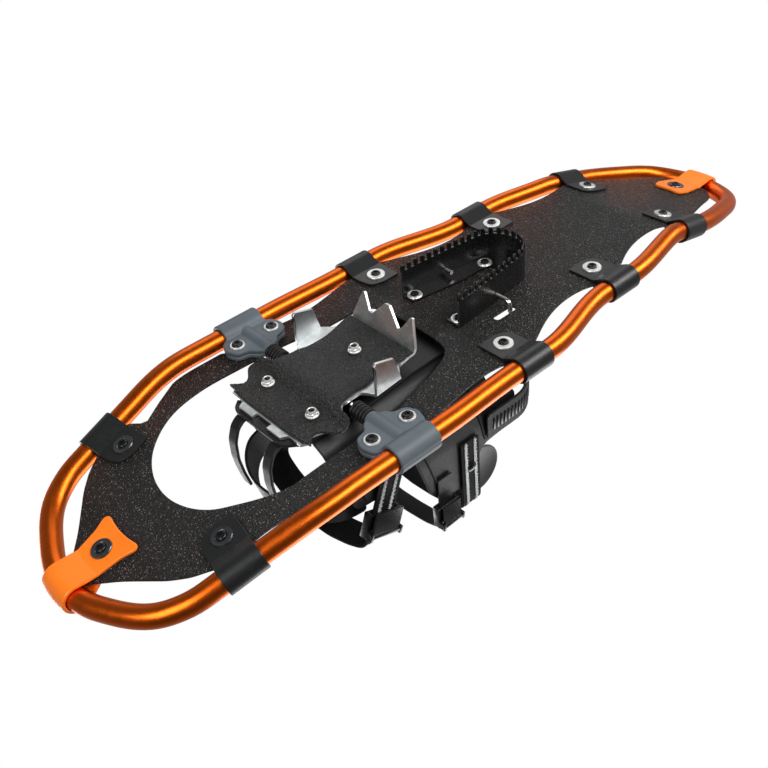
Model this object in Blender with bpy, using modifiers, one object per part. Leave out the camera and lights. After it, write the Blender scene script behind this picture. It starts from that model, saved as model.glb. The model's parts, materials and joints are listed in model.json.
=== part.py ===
"""Snowshoe: a bent tube frame with a hung deck, a pivoting crampon binding and a heel lifter.

Metres, +Z up, +Y towards the nose. The origin lies on the ground under the middle of the frame.
Every shape is drawn in the pivot's own frame, whose origin is the middle of the binding's pivot rod.
"""

import math

import bmesh
import bpy
from mathutils import Matrix, Vector
from mathutils.geometry import interpolate_bezier

MM = 0.001
GAP = 0.3 * MM

# Overall sizes
NOSE_Y = 228.0 * MM
TAIL_Y = -500.0 * MM
PIVOT_Y = -(NOSE_Y + TAIL_Y) / 2
TOOTH_DEPTH = 34.0 * MM
TUBE_RADIUS = 8.5 * MM
TUBE_WALL = 1.5 * MM
NOSE_SLOPE = 0.272
TAIL_SLOPE = 0.25
NOSE_BLEND = 50.0 * MM
TAIL_BLEND = 18.0 * MM
NOSE_RISE_Y = 49.3 * MM
TAIL_RISE_Y = -338.0 * MM
NOSE_BEND = 76.0 * MM
TAIL_BEND = 42.0 * MM

# The right half of the tube's centre line: x, y, heading in degrees, steps to the next station
TUBE_STATIONS = (
    (0.0, 228.0, 0.0, 3),
    (35.0, 220.5, -24.0, 4),
    (70.0, 200.5, -42.0, 2),
    (84.6, 179.5, -66.0, 2),
    (90.3, 156.3, -80.0, 1),
    (95.9, 124.7, -80.0, 5),
    (105.4, 60.0, -90.0, 3),
    (105.4, -30.0, -90.0, 2),
    (102.8, -106.0, -90.0, 1),
    (102.8, -146.0, -90.0, 6),
    (85.8, -234.0, -90.0, 1),
    (85.8, -272.0, -90.0, 6),
    (72.2, -356.0, -93.0, 1),
    (70.4, -391.0, -93.0, 3),
    (66.0, -421.0, -102.0, 2),
    (56.0, -458.0, -106.0, 2),
    (48.0, -476.0, -122.0, 3),
    (25.0, -494.0, -155.0, 3),
    (0.0, -500.0, -180.0, 1),
)

# Deck
DECK = 2.0 * MM
DECK_DROP = 1.5 * MM
DECK_LIFT = 6.8 * MM
DECK_EDGE = 10.5 * MM
STRAP_YS = (140.5 * MM, -125.6 * MM, -253.4 * MM, -373.0 * MM)
NOTCH = 17.0 * MM
BAY_DEPTHS = (14.0 * MM, 3.0 * MM, 6.0 * MM, 11.0 * MM, 11.0 * MM, 8.0 * MM)

# Side straps
STRAP = 1.8 * MM
STRAP_HALF = 16.0 * MM
STRAP_END = 41.0 * MM
STRAP_SCREW = 27.5 * MM
STRAP_FOLD = 17.0 * MM
SCREW_HOLE = 2.6 * MM

# End straps
END_STRAP = 2.6 * MM
NOSE_SCREW = 34.0 * MM
NOSE_END = 51.0 * MM
TAIL_SCREW = 45.0 * MM
TAIL_END = 60.0 * MM

# Pivot and clamps
ROD_RADIUS = 3.2 * MM
ROD_HALF = 95.0 * MM
CLAMP_X = 105.4 * MM
CLAMP_HALF = 19.0 * MM
CLAMP_WALL = 3.0 * MM
CLAMP_FLANGE = 4.0 * MM
CLAMP_SCREW = (83.0 * MM, 17.0 * MM)

# Toe crampon
CRAMPON = 2.5 * MM
PAD = 2.2 * MM
CRAMPON_FOLD_X = 48.5 * MM
REAR_BOLT_Y = -38.0 * MM
FRONT_BOLT = (27.5 * MM, 27.4 * MM)

# Heel crampon and lifter
HEEL_STEEL = 1.8 * MM
HEEL_SCREWS = ((26.0 * MM, -126.0 * MM), (16.0 * MM, -200.0 * MM))
LIFTER_Y = -165.0 * MM
LIFTER_Z = -10.0 * MM
LIFTER_WIRE = 2.0 * MM
LIFTER_HALF = 46.0 * MM
LIFTER_RISE = 14.5 * MM
LIFTER_REACH = 62.0 * MM

# Binding
PLATE = 3.0 * MM
PLATE_Z = 7.0 * MM
PANEL = 3.0 * MM
PANEL_X = 64.0 * MM
WEBBING = 2.0 * MM
WEBBING_X = PANEL_X + PANEL / 2 + GAP + WEBBING / 2 + 0.2 * MM
BUCKLE_TURN = math.radians(-21.8)

COLOURS = {
    "anodised orange": ((0.80, 0.27, 0.03), 0.28, 0.9),
    "aluminium": ((0.72, 0.73, 0.74), 0.35, 1.0),
    "nickel": ((0.62, 0.61, 0.58), 0.25, 1.0),
    "black steel": ((0.03, 0.03, 0.03), 0.25, 0.7),
    "deck sheet": ((0.025, 0.025, 0.027), 0.55, 0.0),
    "strap black": ((0.035, 0.036, 0.038), 0.5, 0.0),
    "strap orange": ((0.93, 0.30, 0.03), 0.45, 0.0),
    "clamp grey": ((0.16, 0.19, 0.21), 0.5, 0.0),
    "grip black": ((0.03, 0.03, 0.03), 0.8, 0.0),
    "harness black": ((0.02, 0.02, 0.02), 0.5, 0.0),
    "webbing": ((0.03, 0.03, 0.035), 0.85, 0.0),
    "tab grey": ((0.17, 0.17, 0.17), 0.5, 0.0),
}


def clear_scene():
    """Removes whatever the scene holds."""
    for thing in list(bpy.data.objects):
        bpy.data.objects.remove(thing, do_unlink=True)


def new_collection(name):
    """A collection under the scene's own."""
    group = bpy.data.collections.new(name)
    bpy.context.scene.collection.children.link(group)
    return group


def new_material(name, colour, roughness, metallic):
    """A Principled material of one colour."""
    material = bpy.data.materials.new(name)
    material.use_nodes = True
    shader = material.node_tree.nodes["Principled BSDF"]
    shader.inputs["Base Color"].default_value = (*colour, 1.0)
    shader.inputs["Roughness"].default_value = roughness
    shader.inputs["Metallic"].default_value = metallic
    material.diffuse_color = (*colour, 1.0)
    return material


def scaled(points):
    """Points given in millimetres, in metres."""
    return [tuple(value * MM for value in point) for point in points]


def circle(centre, radius, steps=8):
    """A ring of points round a centre."""
    turns = [2 * math.pi * (i + 0.3) / steps for i in range(steps)]
    return [(centre[0] + radius * math.cos(t), centre[1] + radius * math.sin(t)) for t in turns]


def rounded(corners, steps=3):
    """A closed outline from corners of x, y and radius, each corner rounded by an arc."""
    ring = []
    for i, (x, y, radius) in enumerate(corners):
        here = Vector((x, y))
        back = Vector(corners[i - 1][:2]) - here
        ahead = Vector(corners[(i + 1) % len(corners)][:2]) - here
        half = back.angle(ahead) / 2
        if radius == 0 or half > math.radians(88):
            ring.append(tuple(here))
            continue
        reach = min(radius / math.tan(half), 0.49 * back.length, 0.49 * ahead.length)
        radius = reach * math.tan(half)
        middle = here + (back.normalized() + ahead.normalized()).normalized() * (radius / math.sin(half))
        start = here + back.normalized() * reach - middle
        end = here + ahead.normalized() * reach - middle
        sweep = start.angle_signed(end)
        for step in range(steps + 1):
            turned = Matrix.Rotation(-sweep * step / steps, 2) @ start
            ring.append(tuple(middle + turned))
    return ring


def both_sides(half):
    """A closed outline from its right half, listed from front to back."""
    left = [(-x, y) for x, y in reversed(half) if abs(x) > 1e-6]
    return list(half) + left


def smooth_line(stations):
    """Points along a smooth line through stations of x, y, heading and steps to the next one."""
    line = []
    for (x, y, turn, steps), (next_x, next_y, next_turn, _) in zip(stations, stations[1:]):
        start, end = Vector((x, y)), Vector((next_x, next_y))
        reach = (end - start).length / 3
        leave = start + reach * Vector((math.cos(math.radians(turn)), math.sin(math.radians(turn))))
        come = end - reach * Vector((math.cos(math.radians(next_turn)), math.sin(math.radians(next_turn))))
        points = interpolate_bezier(start, leave, come, end, steps + 1)
        line += [tuple(point[:2]) for point in points[:-1]]
    return line + [stations[-1][:2]]


def blend(value, start, end):
    """A smooth step from 0 at start to 1 at end."""
    t = min(max((value - start) / (end - start), 0.0), 1.0)
    return t * t * (3 - 2 * t)


def ramp(distance, steep, ease):
    """Height of a slope that starts gently over a length."""
    if distance <= 0:
        return 0.0
    if distance < ease:
        return steep * distance**2 / (2 * ease)
    return steep * (distance - ease / 2)


def rise(y):
    """Height of the tube's centre line, which turns up at the nose and at the tail."""
    return ramp(y - NOSE_RISE_Y, NOSE_SLOPE, NOSE_BLEND) + ramp(TAIL_RISE_Y - y, TAIL_SLOPE, TAIL_BLEND)


def slope(y):
    """Slope of the tube's centre line along Y."""
    return (rise(y + MM) - rise(y - MM)) / (2 * MM)


def deck_height(y):
    """Height of the deck's middle, which lies on top of the clamps and between the straps."""
    lift = blend(y, -104 * MM, -40 * MM) * (1 - blend(y, 72 * MM, 122 * MM))
    return rise(y) - DECK_DROP + DECK_LIFT * lift


class Fold:
    """The mid-line of a bent sheet, and where a point at some distance along it and off it lies."""

    def __init__(self, points, stops=None):
        self.points = [Vector(point) for point in points]
        self.stops = list(stops) if stops else [0.0]
        if not stops:
            for here, ahead in zip(self.points, self.points[1:]):
                self.stops.append(self.stops[-1] + (ahead - here).length)
        runs = [(ahead - here).normalized() for here, ahead in zip(self.points, self.points[1:])]
        normals = [Vector((-run.y, run.x)) for run in runs]
        self.mitres = [normals[0]]
        for before, after in zip(normals, normals[1:]):
            middle = (before + after).normalized()
            self.mitres.append(middle / middle.dot(after))
        self.mitres.append(normals[-1])

    def place(self, along, off):
        """The point at a distance along the line, and off it to the left."""
        last = len(self.stops) - 2
        run = next((i for i in range(last) if along < self.stops[i + 1]), last)
        share = (along - self.stops[run]) / (self.stops[run + 1] - self.stops[run])
        point = self.points[run].lerp(self.points[run + 1], share)
        return point + off * self.mitres[run].lerp(self.mitres[run + 1], share)


def take_mesh(thing):
    """A bmesh of an object as its modifiers leave it. The object is removed."""
    graph = bpy.context.evaluated_depsgraph_get()
    mesh = bpy.data.meshes.new_from_object(thing.evaluated_get(graph))
    shape = bmesh.new()
    shape.from_mesh(mesh)
    shape.transform(thing.matrix_world)
    data = thing.data
    bpy.data.objects.remove(thing)
    (bpy.data.curves if isinstance(data, bpy.types.Curve) else bpy.data.meshes).remove(data)
    bpy.data.meshes.remove(mesh)
    bmesh.ops.remove_doubles(shape, verts=shape.verts, dist=1e-6)
    return shape


def face_out(shape):
    """Turns a closed shape's faces outward."""
    bmesh.ops.recalc_face_normals(shape, faces=shape.faces)
    if shape.calc_volume(signed=True) < 0:
        bmesh.ops.reverse_faces(shape, faces=shape.faces)
    return shape


def helper_object(name, data):
    """An object in the cutters' collection, out of the render."""
    thing = bpy.data.objects.new(name, data)
    CUTTERS.objects.link(thing)
    thing.hide_render = True
    thing.display_type = "WIRE"
    return thing


def slab(rings, thickness):
    """A flat plate: the first ring is its outline, and the others are its holes."""
    curve = bpy.data.curves.new("outline", "CURVE")
    curve.dimensions = "2D"
    curve.fill_mode = "BOTH"
    curve.extrude = thickness / 2
    for ring in rings:
        spline = curve.splines.new("POLY")
        spline.points.add(len(ring) - 1)
        for point, (x, y) in zip(spline.points, ring):
            point.co = (x, y, 0.0, 1.0)
        spline.use_cyclic_u = True
    return face_out(take_mesh(helper_object("outline", curve)))


def wire(points, radius, bevel=3, caps=True):
    """A round bar along points."""
    curve = bpy.data.curves.new("wire", "CURVE")
    curve.dimensions = "3D"
    curve.bevel_depth = radius
    curve.bevel_resolution = bevel
    curve.use_fill_caps = caps
    curve.twist_mode = "MINIMUM"
    spline = curve.splines.new("POLY")
    spline.points.add(len(points) - 1)
    for point, place in zip(spline.points, points):
        point.co = (*place, 1.0)
    return take_mesh(helper_object("wire", curve))


def cylinder(start, end, radius, steps=12):
    """A round bar from one point to another."""
    start, end = Vector(start), Vector(end)
    axis = end - start
    shape = bmesh.new()
    bmesh.ops.create_cone(
        shape, cap_ends=True, segments=steps, radius1=radius, radius2=radius, depth=axis.length
    )
    turn = axis.to_track_quat("Z", "Y").to_matrix().to_4x4()
    shape.transform(Matrix.Translation((start + end) / 2) @ turn)
    return shape


def box(low, high):
    """A box between two corners."""
    low, high = Vector(low), Vector(high)
    shape = bmesh.new()
    bmesh.ops.create_cube(shape, size=1.0)
    shape.transform(Matrix.Translation((low + high) / 2) @ Matrix.Diagonal((*(high - low), 1.0)))
    return shape


def shape_object(shape):
    """A helper object that holds a shape."""
    mesh = bpy.data.meshes.new("helper")
    shape.to_mesh(mesh)
    shape.free()
    return helper_object("helper", mesh)


def combine(shape, add=(), cut=()):
    """A shape with others joined to it, and then others cut from it."""
    thing = shape_object(shape)
    others = []
    for operation, group in (("UNION", add), ("DIFFERENCE", cut)):
        for other in group:
            others.append(shape_object(other))
            modifier = thing.modifiers.new(operation.lower(), "BOOLEAN")
            modifier.operation = operation
            modifier.object = others[-1]
    result = take_mesh(thing)
    for other in others:
        data = other.data
        bpy.data.objects.remove(other)
        bpy.data.meshes.remove(data)
    return result


def score(shape, axis, places):
    """Cuts a flat sheet's faces across X (axis 0) or Y (axis 1), so that it can bend there."""
    normal = Vector((1.0, 0.0, 0.0)) if axis == 0 else Vector((0.0, 1.0, 0.0))
    for place in places:
        parts = shape.verts[:] + shape.edges[:] + shape.faces[:]
        bmesh.ops.bisect_plane(shape, geom=parts, dist=1e-6, plane_co=normal * place, plane_no=normal)


def move_points(shape, rule):
    """Puts each of a shape's points where the rule says, and turns its faces out."""
    for vertex in shape.verts:
        vertex.co = rule(vertex.co.copy())
    return face_out(shape)


def mirrored(shape):
    """A copy of a shape on the left side."""
    other = shape.copy()
    for vertex in other.verts:
        vertex.co.x = -vertex.co.x
    bmesh.ops.reverse_faces(other, faces=other.faces)
    return other


def turned(profile, steps=10):
    """A turned shape from a profile of radius and height, top to bottom."""
    mesh = bpy.data.meshes.new("profile")
    mesh.from_pydata([(r, 0.0, z) for r, z in profile], [(i, i + 1) for i in range(len(profile) - 1)], [])
    thing = helper_object("profile", mesh)
    modifier = thing.modifiers.new("turn", "SCREW")
    modifier.steps = steps
    modifier.render_steps = steps
    modifier.use_merge_vertices = True
    modifier.merge_threshold = 1e-5
    return face_out(take_mesh(thing))


def add_node(name, shape, material, parent=None, smooth=True):
    """Makes a named object from a shape, under a parent empty."""
    mesh = bpy.data.meshes.new(name)
    shape.to_mesh(mesh)
    shape.free()
    if smooth:
        mesh.shade_smooth()
        mesh.set_sharp_from_angle(angle=math.radians(35))
    node = bpy.data.objects.new(name, mesh)
    node.parent = parent or FRAME
    finish = MATERIALS[material].copy()
    finish.name = name
    mesh.materials.append(finish)
    PARTS.objects.link(node)
    return node


def add_empty(name, place, parent=None):
    """An empty that carries a body, on its joint's axis."""
    empty = bpy.data.objects.new(name, None)
    empty.location = place
    empty.parent = parent
    empty.empty_display_size = 0.03
    PARTS.objects.link(empty)
    return empty


# ---------------------------------------------------------------- frame


def tube_line():
    """The right half of the tube's centre line, from nose to tail."""
    flat = smooth_line([(x * MM, y * MM, turn, steps) for x, y, turn, steps in TUBE_STATIONS])
    return [Vector((x, y, rise(y))) for x, y in flat]


def tube_frame(y):
    """The right side's tube at a Y: its centre, and the directions inward, along it and up."""
    line = tube_line()
    here, ahead = next((a, b) for a, b in zip(line, line[1:]) if b.y <= y <= a.y)
    centre = here.lerp(ahead, (here.y - y) / (here.y - ahead.y))
    along = (ahead - here).normalized()
    up = Vector((0.0, -slope(y), 1.0)).normalized()
    return centre, along.cross(up).normalized(), along, up


def add_frame_tube():
    """The hollow tube, bent to a loop whose ends meet in the middle of the tail."""
    half = tube_line()
    right = half[:-1] + [half[-1] + Vector((0.4 * MM, 0.0, 0.0))]
    left = [Vector((-p.x, p.y, p.z)) for p in reversed(right)]
    shape = wire(left + right[1:], TUBE_RADIUS, bevel=2, caps=False)
    bmesh.ops.recalc_face_normals(shape, faces=shape.faces)
    thing = shape_object(shape)
    wall = thing.modifiers.new("wall", "SOLIDIFY")
    wall.thickness = TUBE_WALL
    wall.offset = -1.0
    wall.use_rim = True
    add_node("frame_tube", take_mesh(thing), "anodised orange")
    joiner = [p for p in half if p.x < 16 * MM and p.y < 0]
    route = [Vector((-p.x, p.y, p.z)) for p in joiner[:-1]] + joiner[::-1]
    add_node("tube_joiner", wire(route, TUBE_RADIUS - TUBE_WALL - 0.8 * MM, bevel=2), "aluminium")


def wrap_fold(radius, near, far, middle, gap):
    """The line of a strap that lies under the deck, goes round the tube, and comes back over it."""
    low, high = middle - gap, middle + gap

    def touch(point, side):
        reach = math.hypot(*point)
        turn = math.atan2(point[1], point[0]) + side * math.acos(radius / reach)
        return turn

    start = touch((near, low), -1)
    end = touch((near, high), 1) - 2 * math.pi
    steps = 7
    round_part = [start + (end - start) * i / steps for i in range(steps + 1)]
    arc = [(radius * math.cos(t), radius * math.sin(t)) for t in round_part]
    return Fold([(far, low), (near, low), *arc, (near, high), (far, high)])


def add_side_straps():
    """The four pairs of straps that hang the deck from the tube."""
    gap = DECK / 2 + GAP + STRAP / 2
    radius = TUBE_RADIUS + 0.45 * MM + STRAP / 2
    fold = wrap_fold(radius, STRAP_FOLD, STRAP_END, -DECK_DROP, gap)
    total = fold.stops[-1]
    tip, shoulder = 6.5 * MM, 19.0 * MM
    end = [(0.0, -tip, 5 * MM), (shoulder, -STRAP_HALF, 7 * MM)]
    corners = end + [(total - x, y, r) for x, y, r in reversed(end)]
    corners += [(x, -y, r) for x, y, r in reversed(corners)]
    hole = STRAP_END - STRAP_SCREW
    for place, y in enumerate(STRAP_YS):
        centre, inward, along, up = tube_frame(y)
        holes = [circle((hole, 0.0), SCREW_HOLE), circle((total - hole, 0.0), SCREW_HOLE)]
        shape = slab([rounded(corners, 2), *holes], STRAP)
        score(shape, 0, fold.stops[1:-1])

        def onto_tube(point):
            section = fold.place(point.x, point.z)
            return centre + inward * section.x + up * section.y + along * point.y

        move_points(shape, onto_tube)
        name = ("front", "middle", "rear", "tail")[place] + "_side_strap"
        add_node(name + "_left", mirrored(shape), "strap black")
        add_node(name + "_right", shape, "strap black")


def end_strap_shape(nose, far, widths, screw):
    """An end strap: over the deck, round the tube where it bends, and back under the deck."""
    bend = NOSE_BEND if nose else TAIL_BEND
    y = NOSE_Y if nose else TAIL_Y
    way = -1.0 if nose else 1.0
    centre = Vector((0.0, y, rise(y)))
    inward = Vector((0.0, way, way * slope(y))).normalized()
    up = Vector((0.0, -slope(y), 1.0)).normalized()
    gap = DECK / 2 + GAP + END_STRAP / 2
    fold = wrap_fold(TUBE_RADIUS + 0.6 * MM + END_STRAP / 2, 22 * MM, far, -DECK_DROP, gap)
    total = fold.stops[-1]
    half = [(s * MM, -w * MM, r * MM) for s, w, r in widths]
    corners = half + [(total - x, w, r) for x, w, r in reversed(half)]
    corners += [(x, -w, r) for x, w, r in reversed(corners)]
    hole = far - screw
    rings = [rounded(corners, 2), circle((hole, 0.0), SCREW_HOLE), circle((total - hole, 0.0), SCREW_HOLE)]
    shape = slab(rings, END_STRAP)
    score(shape, 0, fold.stops[1:-1])
    score(shape, 1, [-7 * MM, 7 * MM])

    def onto_tube(point):
        section = fold.place(point.x, point.z)
        lean = math.cos(math.asin(min(abs(point.y) / bend, 0.5)))
        into = section.x / lean if section.x < 10 * MM else section.x
        return centre + inward * (into + point.y**2 / (2 * bend)) + up * section.y + Vector((point.y, 0, 0))

    return move_points(shape, onto_tube)


def add_end_straps():
    """The orange straps at the nose and at the tail."""
    nose = ((0, 24, 5), (14, 18, 20), (30, 15.5, 10), (46, 15.5, 0))
    tail = ((0, 14, 7), (14, 17, 8), (36, 14, 10), (50, 14, 0))
    add_node("nose_strap", end_strap_shape(True, NOSE_END, nose, NOSE_SCREW), "strap orange")
    add_node("tail_strap", end_strap_shape(False, TAIL_END, tail, TAIL_SCREW), "strap orange")


# ---------------------------------------------------------------- deck


def bay_depth(bay, share, left):
    """How far the deck's edge is drawn in, at a share of the way along a bay."""
    if bay == 1 and left:
        return NOTCH * min(share / 0.07, 1.0) * max(1.0 - (share - 0.07) / 0.4, 0.0)
    return BAY_DEPTHS[bay] * math.sin(math.pi * share) ** 0.8


def deck_outline(left=False):
    """One half of the deck's edge: close to the tube at each strap and clamp, and drawn in between them."""
    line = tube_line()
    lengths = [0.0]
    for here, ahead in zip(line, line[1:]):
        lengths.append(lengths[-1] + (ahead - here).length)

    def length_at(y):
        return next(
            s + (here.y - y) / (here.y - ahead.y) * (ahead - here).length
            for s, here, ahead in zip(lengths, line, line[1:])
            if ahead.y <= y <= here.y
        )

    front, *rear = STRAP_YS
    holds = [0.0, length_at(front), length_at(0.0), *(length_at(y) for y in rear), lengths[-1]]
    half = []
    for i, (s, here) in enumerate(zip(lengths, line)):
        ahead = line[min(i + 1, len(line) - 1)]
        behind = line[max(i - 1, 0)]
        along = (ahead - behind).normalized()
        bay = max(k for k in range(len(holds) - 1) if s >= holds[k] - 1e-9)
        width = holds[bay + 1] - holds[bay]
        share = min(max((s - holds[bay] - 15 * MM) / (width - 30 * MM), 0.0), 1.0)
        inset = DECK_EDGE + bay_depth(bay, share, left)
        if abs(here.y) < 24 * MM:
            inset = max(inset, 13.5 * MM)
        half.append((max(here.x + along.y * inset, 0.0), here.y - along.x * inset))
    return half


def fine_outline(half, step=24 * MM):
    """An outline with no stretch longer than a step."""
    line = [half[0]]
    for start, end in zip(half, half[1:]):
        count = max(1, math.ceil(math.dist(start, end) / step))
        for i in range(1, count + 1):
            line.append((start[0] + (end[0] - start[0]) * i / count, start[1] + (end[1] - start[1]) * i / count))
    return line


def toe_hole():
    """The egg-shaped hole that the toe crampon swings through."""
    stations = (
        (0.0, 142.0, 0.0, 4),
        (46.0, 122.0, -50.0, 4),
        (68.0, 73.0, -88.0, 4),
        (66.0, 0.0, -92.0, 2),
        (61.0, -36.0, -106.0, 2),
        (53.0, -74.0, -104.0, 2),
    )
    side = smooth_line([(x * MM, y * MM, turn, steps) for x, y, turn, steps in stations])
    return both_sides(side + scaled([(48.5, -87.0), (20.0, -97.0), (0.0, -98.0)]))


def strap_screw_places():
    """Where each strap's screw crosses the deck: its point, and the deck's up direction."""
    places = {}
    for name, y in zip(("front", "middle", "rear", "tail"), STRAP_YS):
        centre, inward, _, up = tube_frame(y)
        point = centre + inward * STRAP_SCREW - up * DECK_DROP
        places[name + "_strap_screw_right"] = (point, up)
        places[name + "_strap_screw_left"] = (Vector((-point.x, point.y, point.z)), up)
    for name, y, reach in (("nose", NOSE_Y, -NOSE_SCREW), ("tail_end", TAIL_Y, TAIL_SCREW)):
        up = Vector((0.0, -slope(y), 1.0)).normalized()
        way = Vector((0.0, 1.0, slope(y))).normalized()
        places[name + "_strap_screw"] = (Vector((0.0, y, rise(y))) + way * reach - up * DECK_DROP, up)
    return places


def add_deck():
    """The deck sheet, with its toe hole, the holes of its screws and the lifter's two slots."""
    left = [(-x, y) for x, y in reversed(fine_outline(deck_outline(True))) if abs(x) > 1e-6]
    outline = fine_outline(deck_outline()) + left
    holes = [circle(point[:2], SCREW_HOLE) for point, _ in strap_screw_places().values()]
    for side in (-1, 1):
        for end in (-1, 1):
            holes.append(circle((side * CLAMP_SCREW[0], end * CLAMP_SCREW[1]), SCREW_HOLE))
        for x, y in HEEL_SCREWS:
            holes.append(circle((side * x, y), SCREW_HOLE))
        wide, front, back = LIFTER_WIRE + 1.2 * MM, LIFTER_Y + 18 * MM, LIFTER_Y - 5 * MM
        middle = side * LIFTER_HALF
        low, high = middle - wide, middle + wide
        holes.append(rounded([(low, front, wide), (high, front, wide), (high, back, wide), (low, back, wide)], 2))
    shape = slab([outline, toe_hole(), *holes], DECK)
    bends = [y * MM for y in (-356, -350, -344, -338, -104, -88, -72, -56, -40)]
    bends += [y * MM for y in (49, 61, 72, 82, 92, 102, 112, 122)]
    score(shape, 1, bends)
    move_points(shape, lambda p: Vector((p.x, p.y, p.z + deck_height(p.y))))
    add_node("deck", shape, "deck sheet")


# ---------------------------------------------------------------- fasteners


def screw_profile(stack, washer=8.0, head=4.4, nut=6.0):
    """A screw with its washer and nut. The stack is what it clamps, and its middle is at 0."""
    half = stack / 2 / MM + 0.3
    shank = 2.2
    top = [(0.0, half + 2.8), (nut, half + 2.2), (nut, half), (shank, half)]
    bottom = [(shank, -half), (washer, -half), (washer - 0.4, -half - 1.4), (head, -half - 1.5)]
    bottom += [(head - 0.8, -half - 3.0), (2.0, -half - 3.0), (0.0, -half - 1.8)]
    return scaled(top + bottom)


def place_turned(name, profile, point, up, material, parent=None, steps=8):
    """Adds a turned piece with its axis along a direction."""
    shape = turned(profile, steps)
    turn = Vector(up).to_track_quat("Z", "Y").to_matrix().to_4x4()
    shape.transform(Matrix.Translation(point) @ turn)
    return add_node(name, shape, material, parent)


def add_strap_screws():
    """One screw through each strap and the deck."""
    for name, (point, up) in strap_screw_places().items():
        strap = END_STRAP if name.startswith(("nose", "tail_end")) else STRAP
        material = "black steel" if name.startswith(("nose", "front")) else "nickel"
        place_turned(name, screw_profile(DECK + 2 * (strap + GAP)), point, up, material)


def add_clamp_screws():
    """Two screws through each clamp and the deck."""
    deck_top = deck_height(0.0) + DECK / 2
    low = -CLAMP_FLANGE - GAP / 2
    profile = screw_profile(deck_top - low, washer=6.2, head=4.2, nut=5.0)
    middle = (deck_top + low) / 2
    for side, side_name in ((1, "right"), (-1, "left")):
        for end, end_name in ((1, "front"), (-1, "rear")):
            point = Vector((side * CLAMP_SCREW[0], end * CLAMP_SCREW[1], middle))
            place_turned(f"clamp_screw_{end_name}_{side_name}", profile, point, (0, 0, 1), "nickel")


def add_heel_screws():
    """Four screws through the heel crampon's flange and the deck."""
    middle = deck_height(HEEL_SCREWS[0][1]) - (GAP + HEEL_STEEL) / 2
    profile = screw_profile(DECK + GAP + HEEL_STEEL, washer=5.6, head=4.0, nut=5.0)
    for side, side_name in ((1, "right"), (-1, "left")):
        for (x, y), end_name in zip(HEEL_SCREWS, ("front", "rear")):
            point = Vector((side * x, y, middle))
            place_turned(f"heel_screw_{end_name}_{side_name}", profile, point, (0, 0, 1), "nickel")


# ---------------------------------------------------------------- pivot


def clamp_half(up):
    """The right clamp's upper or lower half: a half sleeve, a flange and half a boss for the rod."""
    ears = [(66, 0), (62.5, 8), (71, 14), (73.5, 24), (83, 28), (93, 25), (97, 19)]
    radii = (0, 5, 4, 6, 9, 5, 0)
    front = [(x * MM, y * MM, r * MM) for (x, y), r in zip(ears, radii)]
    corners = front[::-1] + [(x, -y, r) for x, y, r in front[1:]]
    corners[-1] = (97 * MM, -19 * MM, 0.0)
    side = 1.0 if up else -1.0
    flange = slab([rounded(corners)], CLAMP_FLANGE - GAP)
    lift = side * (CLAMP_FLANGE / 2 + GAP / 2)
    flange.transform(Matrix.Translation((0.0, 0.0, lift)))
    sleeve = cylinder((CLAMP_X, -CLAMP_HALF, 0), (CLAMP_X, CLAMP_HALF, 0), TUBE_RADIUS + CLAMP_WALL, 20)
    boss = cylinder((61 * MM, 0, 0), (100 * MM, 0, 0), ROD_RADIUS + 3.6 * MM, 12)
    far = 130 * MM
    cuts = [
        cylinder((CLAMP_X, -far, 0), (CLAMP_X, far, 0), TUBE_RADIUS + 0.5 * MM, 20),
        cylinder((40 * MM, 0, 0), (CLAMP_X, 0, 0), ROD_RADIUS + GAP, 12),
    ]
    for end in (1, -1):
        x, y = CLAMP_SCREW
        cuts.append(cylinder((x, end * y, -far), (x, end * y, far), SCREW_HOLE, 8))
    low, high = (GAP / 2 - far, GAP / 2) if up else (-GAP / 2, far - GAP / 2)
    cuts.append(box((0, -far, min(low, high)), (2 * far, far, max(low, high))))
    if up:
        deck_low = deck_height(0.0) - DECK / 2 - GAP
        cuts.append(box((0, -far, deck_low), (92.6 * MM, far, far)))
    return combine(flange, add=[sleeve, boss], cut=cuts)


def add_clamps():
    """The clamps that hold the pivot rod's ends to the tube, each in two halves."""
    for up, name in ((False, "lower"), (True, "upper")):
        shape = clamp_half(up)
        add_node(f"clamp_{name}_left", mirrored(shape), "clamp grey")
        add_node(f"clamp_{name}_right", shape, "clamp grey")


def add_pivot():
    """The pivot rod, and the ribbed sleeves on it."""
    add_node("pivot_rod", cylinder((-ROD_HALF, 0, 0), (ROD_HALF, 0, 0), ROD_RADIUS, 12), "nickel")
    inner = ROD_RADIUS + GAP
    ribs = []
    for i in range(4):
        x = 44.2 + 4.2 * i
        ribs += [(7.0, x), (7.0, x + 2.4), (5.9, x + 2.6), (5.9, x + 4.0)]
    ring = [(inner / MM, 44.2), *ribs[:-1], (5.9, 60.7), (inner / MM, 60.7)]
    profile = scaled(ring + [ring[0]])[::-1]
    shape = turned(profile, 10)
    shape.transform(Matrix.Rotation(math.pi / 2, 4, "Y"))
    add_node("rod_sleeve_left", mirrored(shape), "harness black")
    add_node("rod_sleeve_right", shape, "harness black")


# ---------------------------------------------------------------- toe crampon


def crampon_fold():
    """The crampon plate's side view: it dips under the rod, and its rear edge turns down."""
    top = [(60, 3.9), (23, 2.7), (19, 2.6), (9, -5.3), (-9, -5.3), (-17, -3.4)]
    points = [*top, (-23, -4.0), (-63, -8.1), (-68, -8.6), (-76, -33.6)]
    stops = [y for y, _ in points[:-1]] + [-68 - math.hypot(8, 25)]
    return Fold(scaled(points)[::-1], [stop * MM for stop in stops[::-1]])


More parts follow.
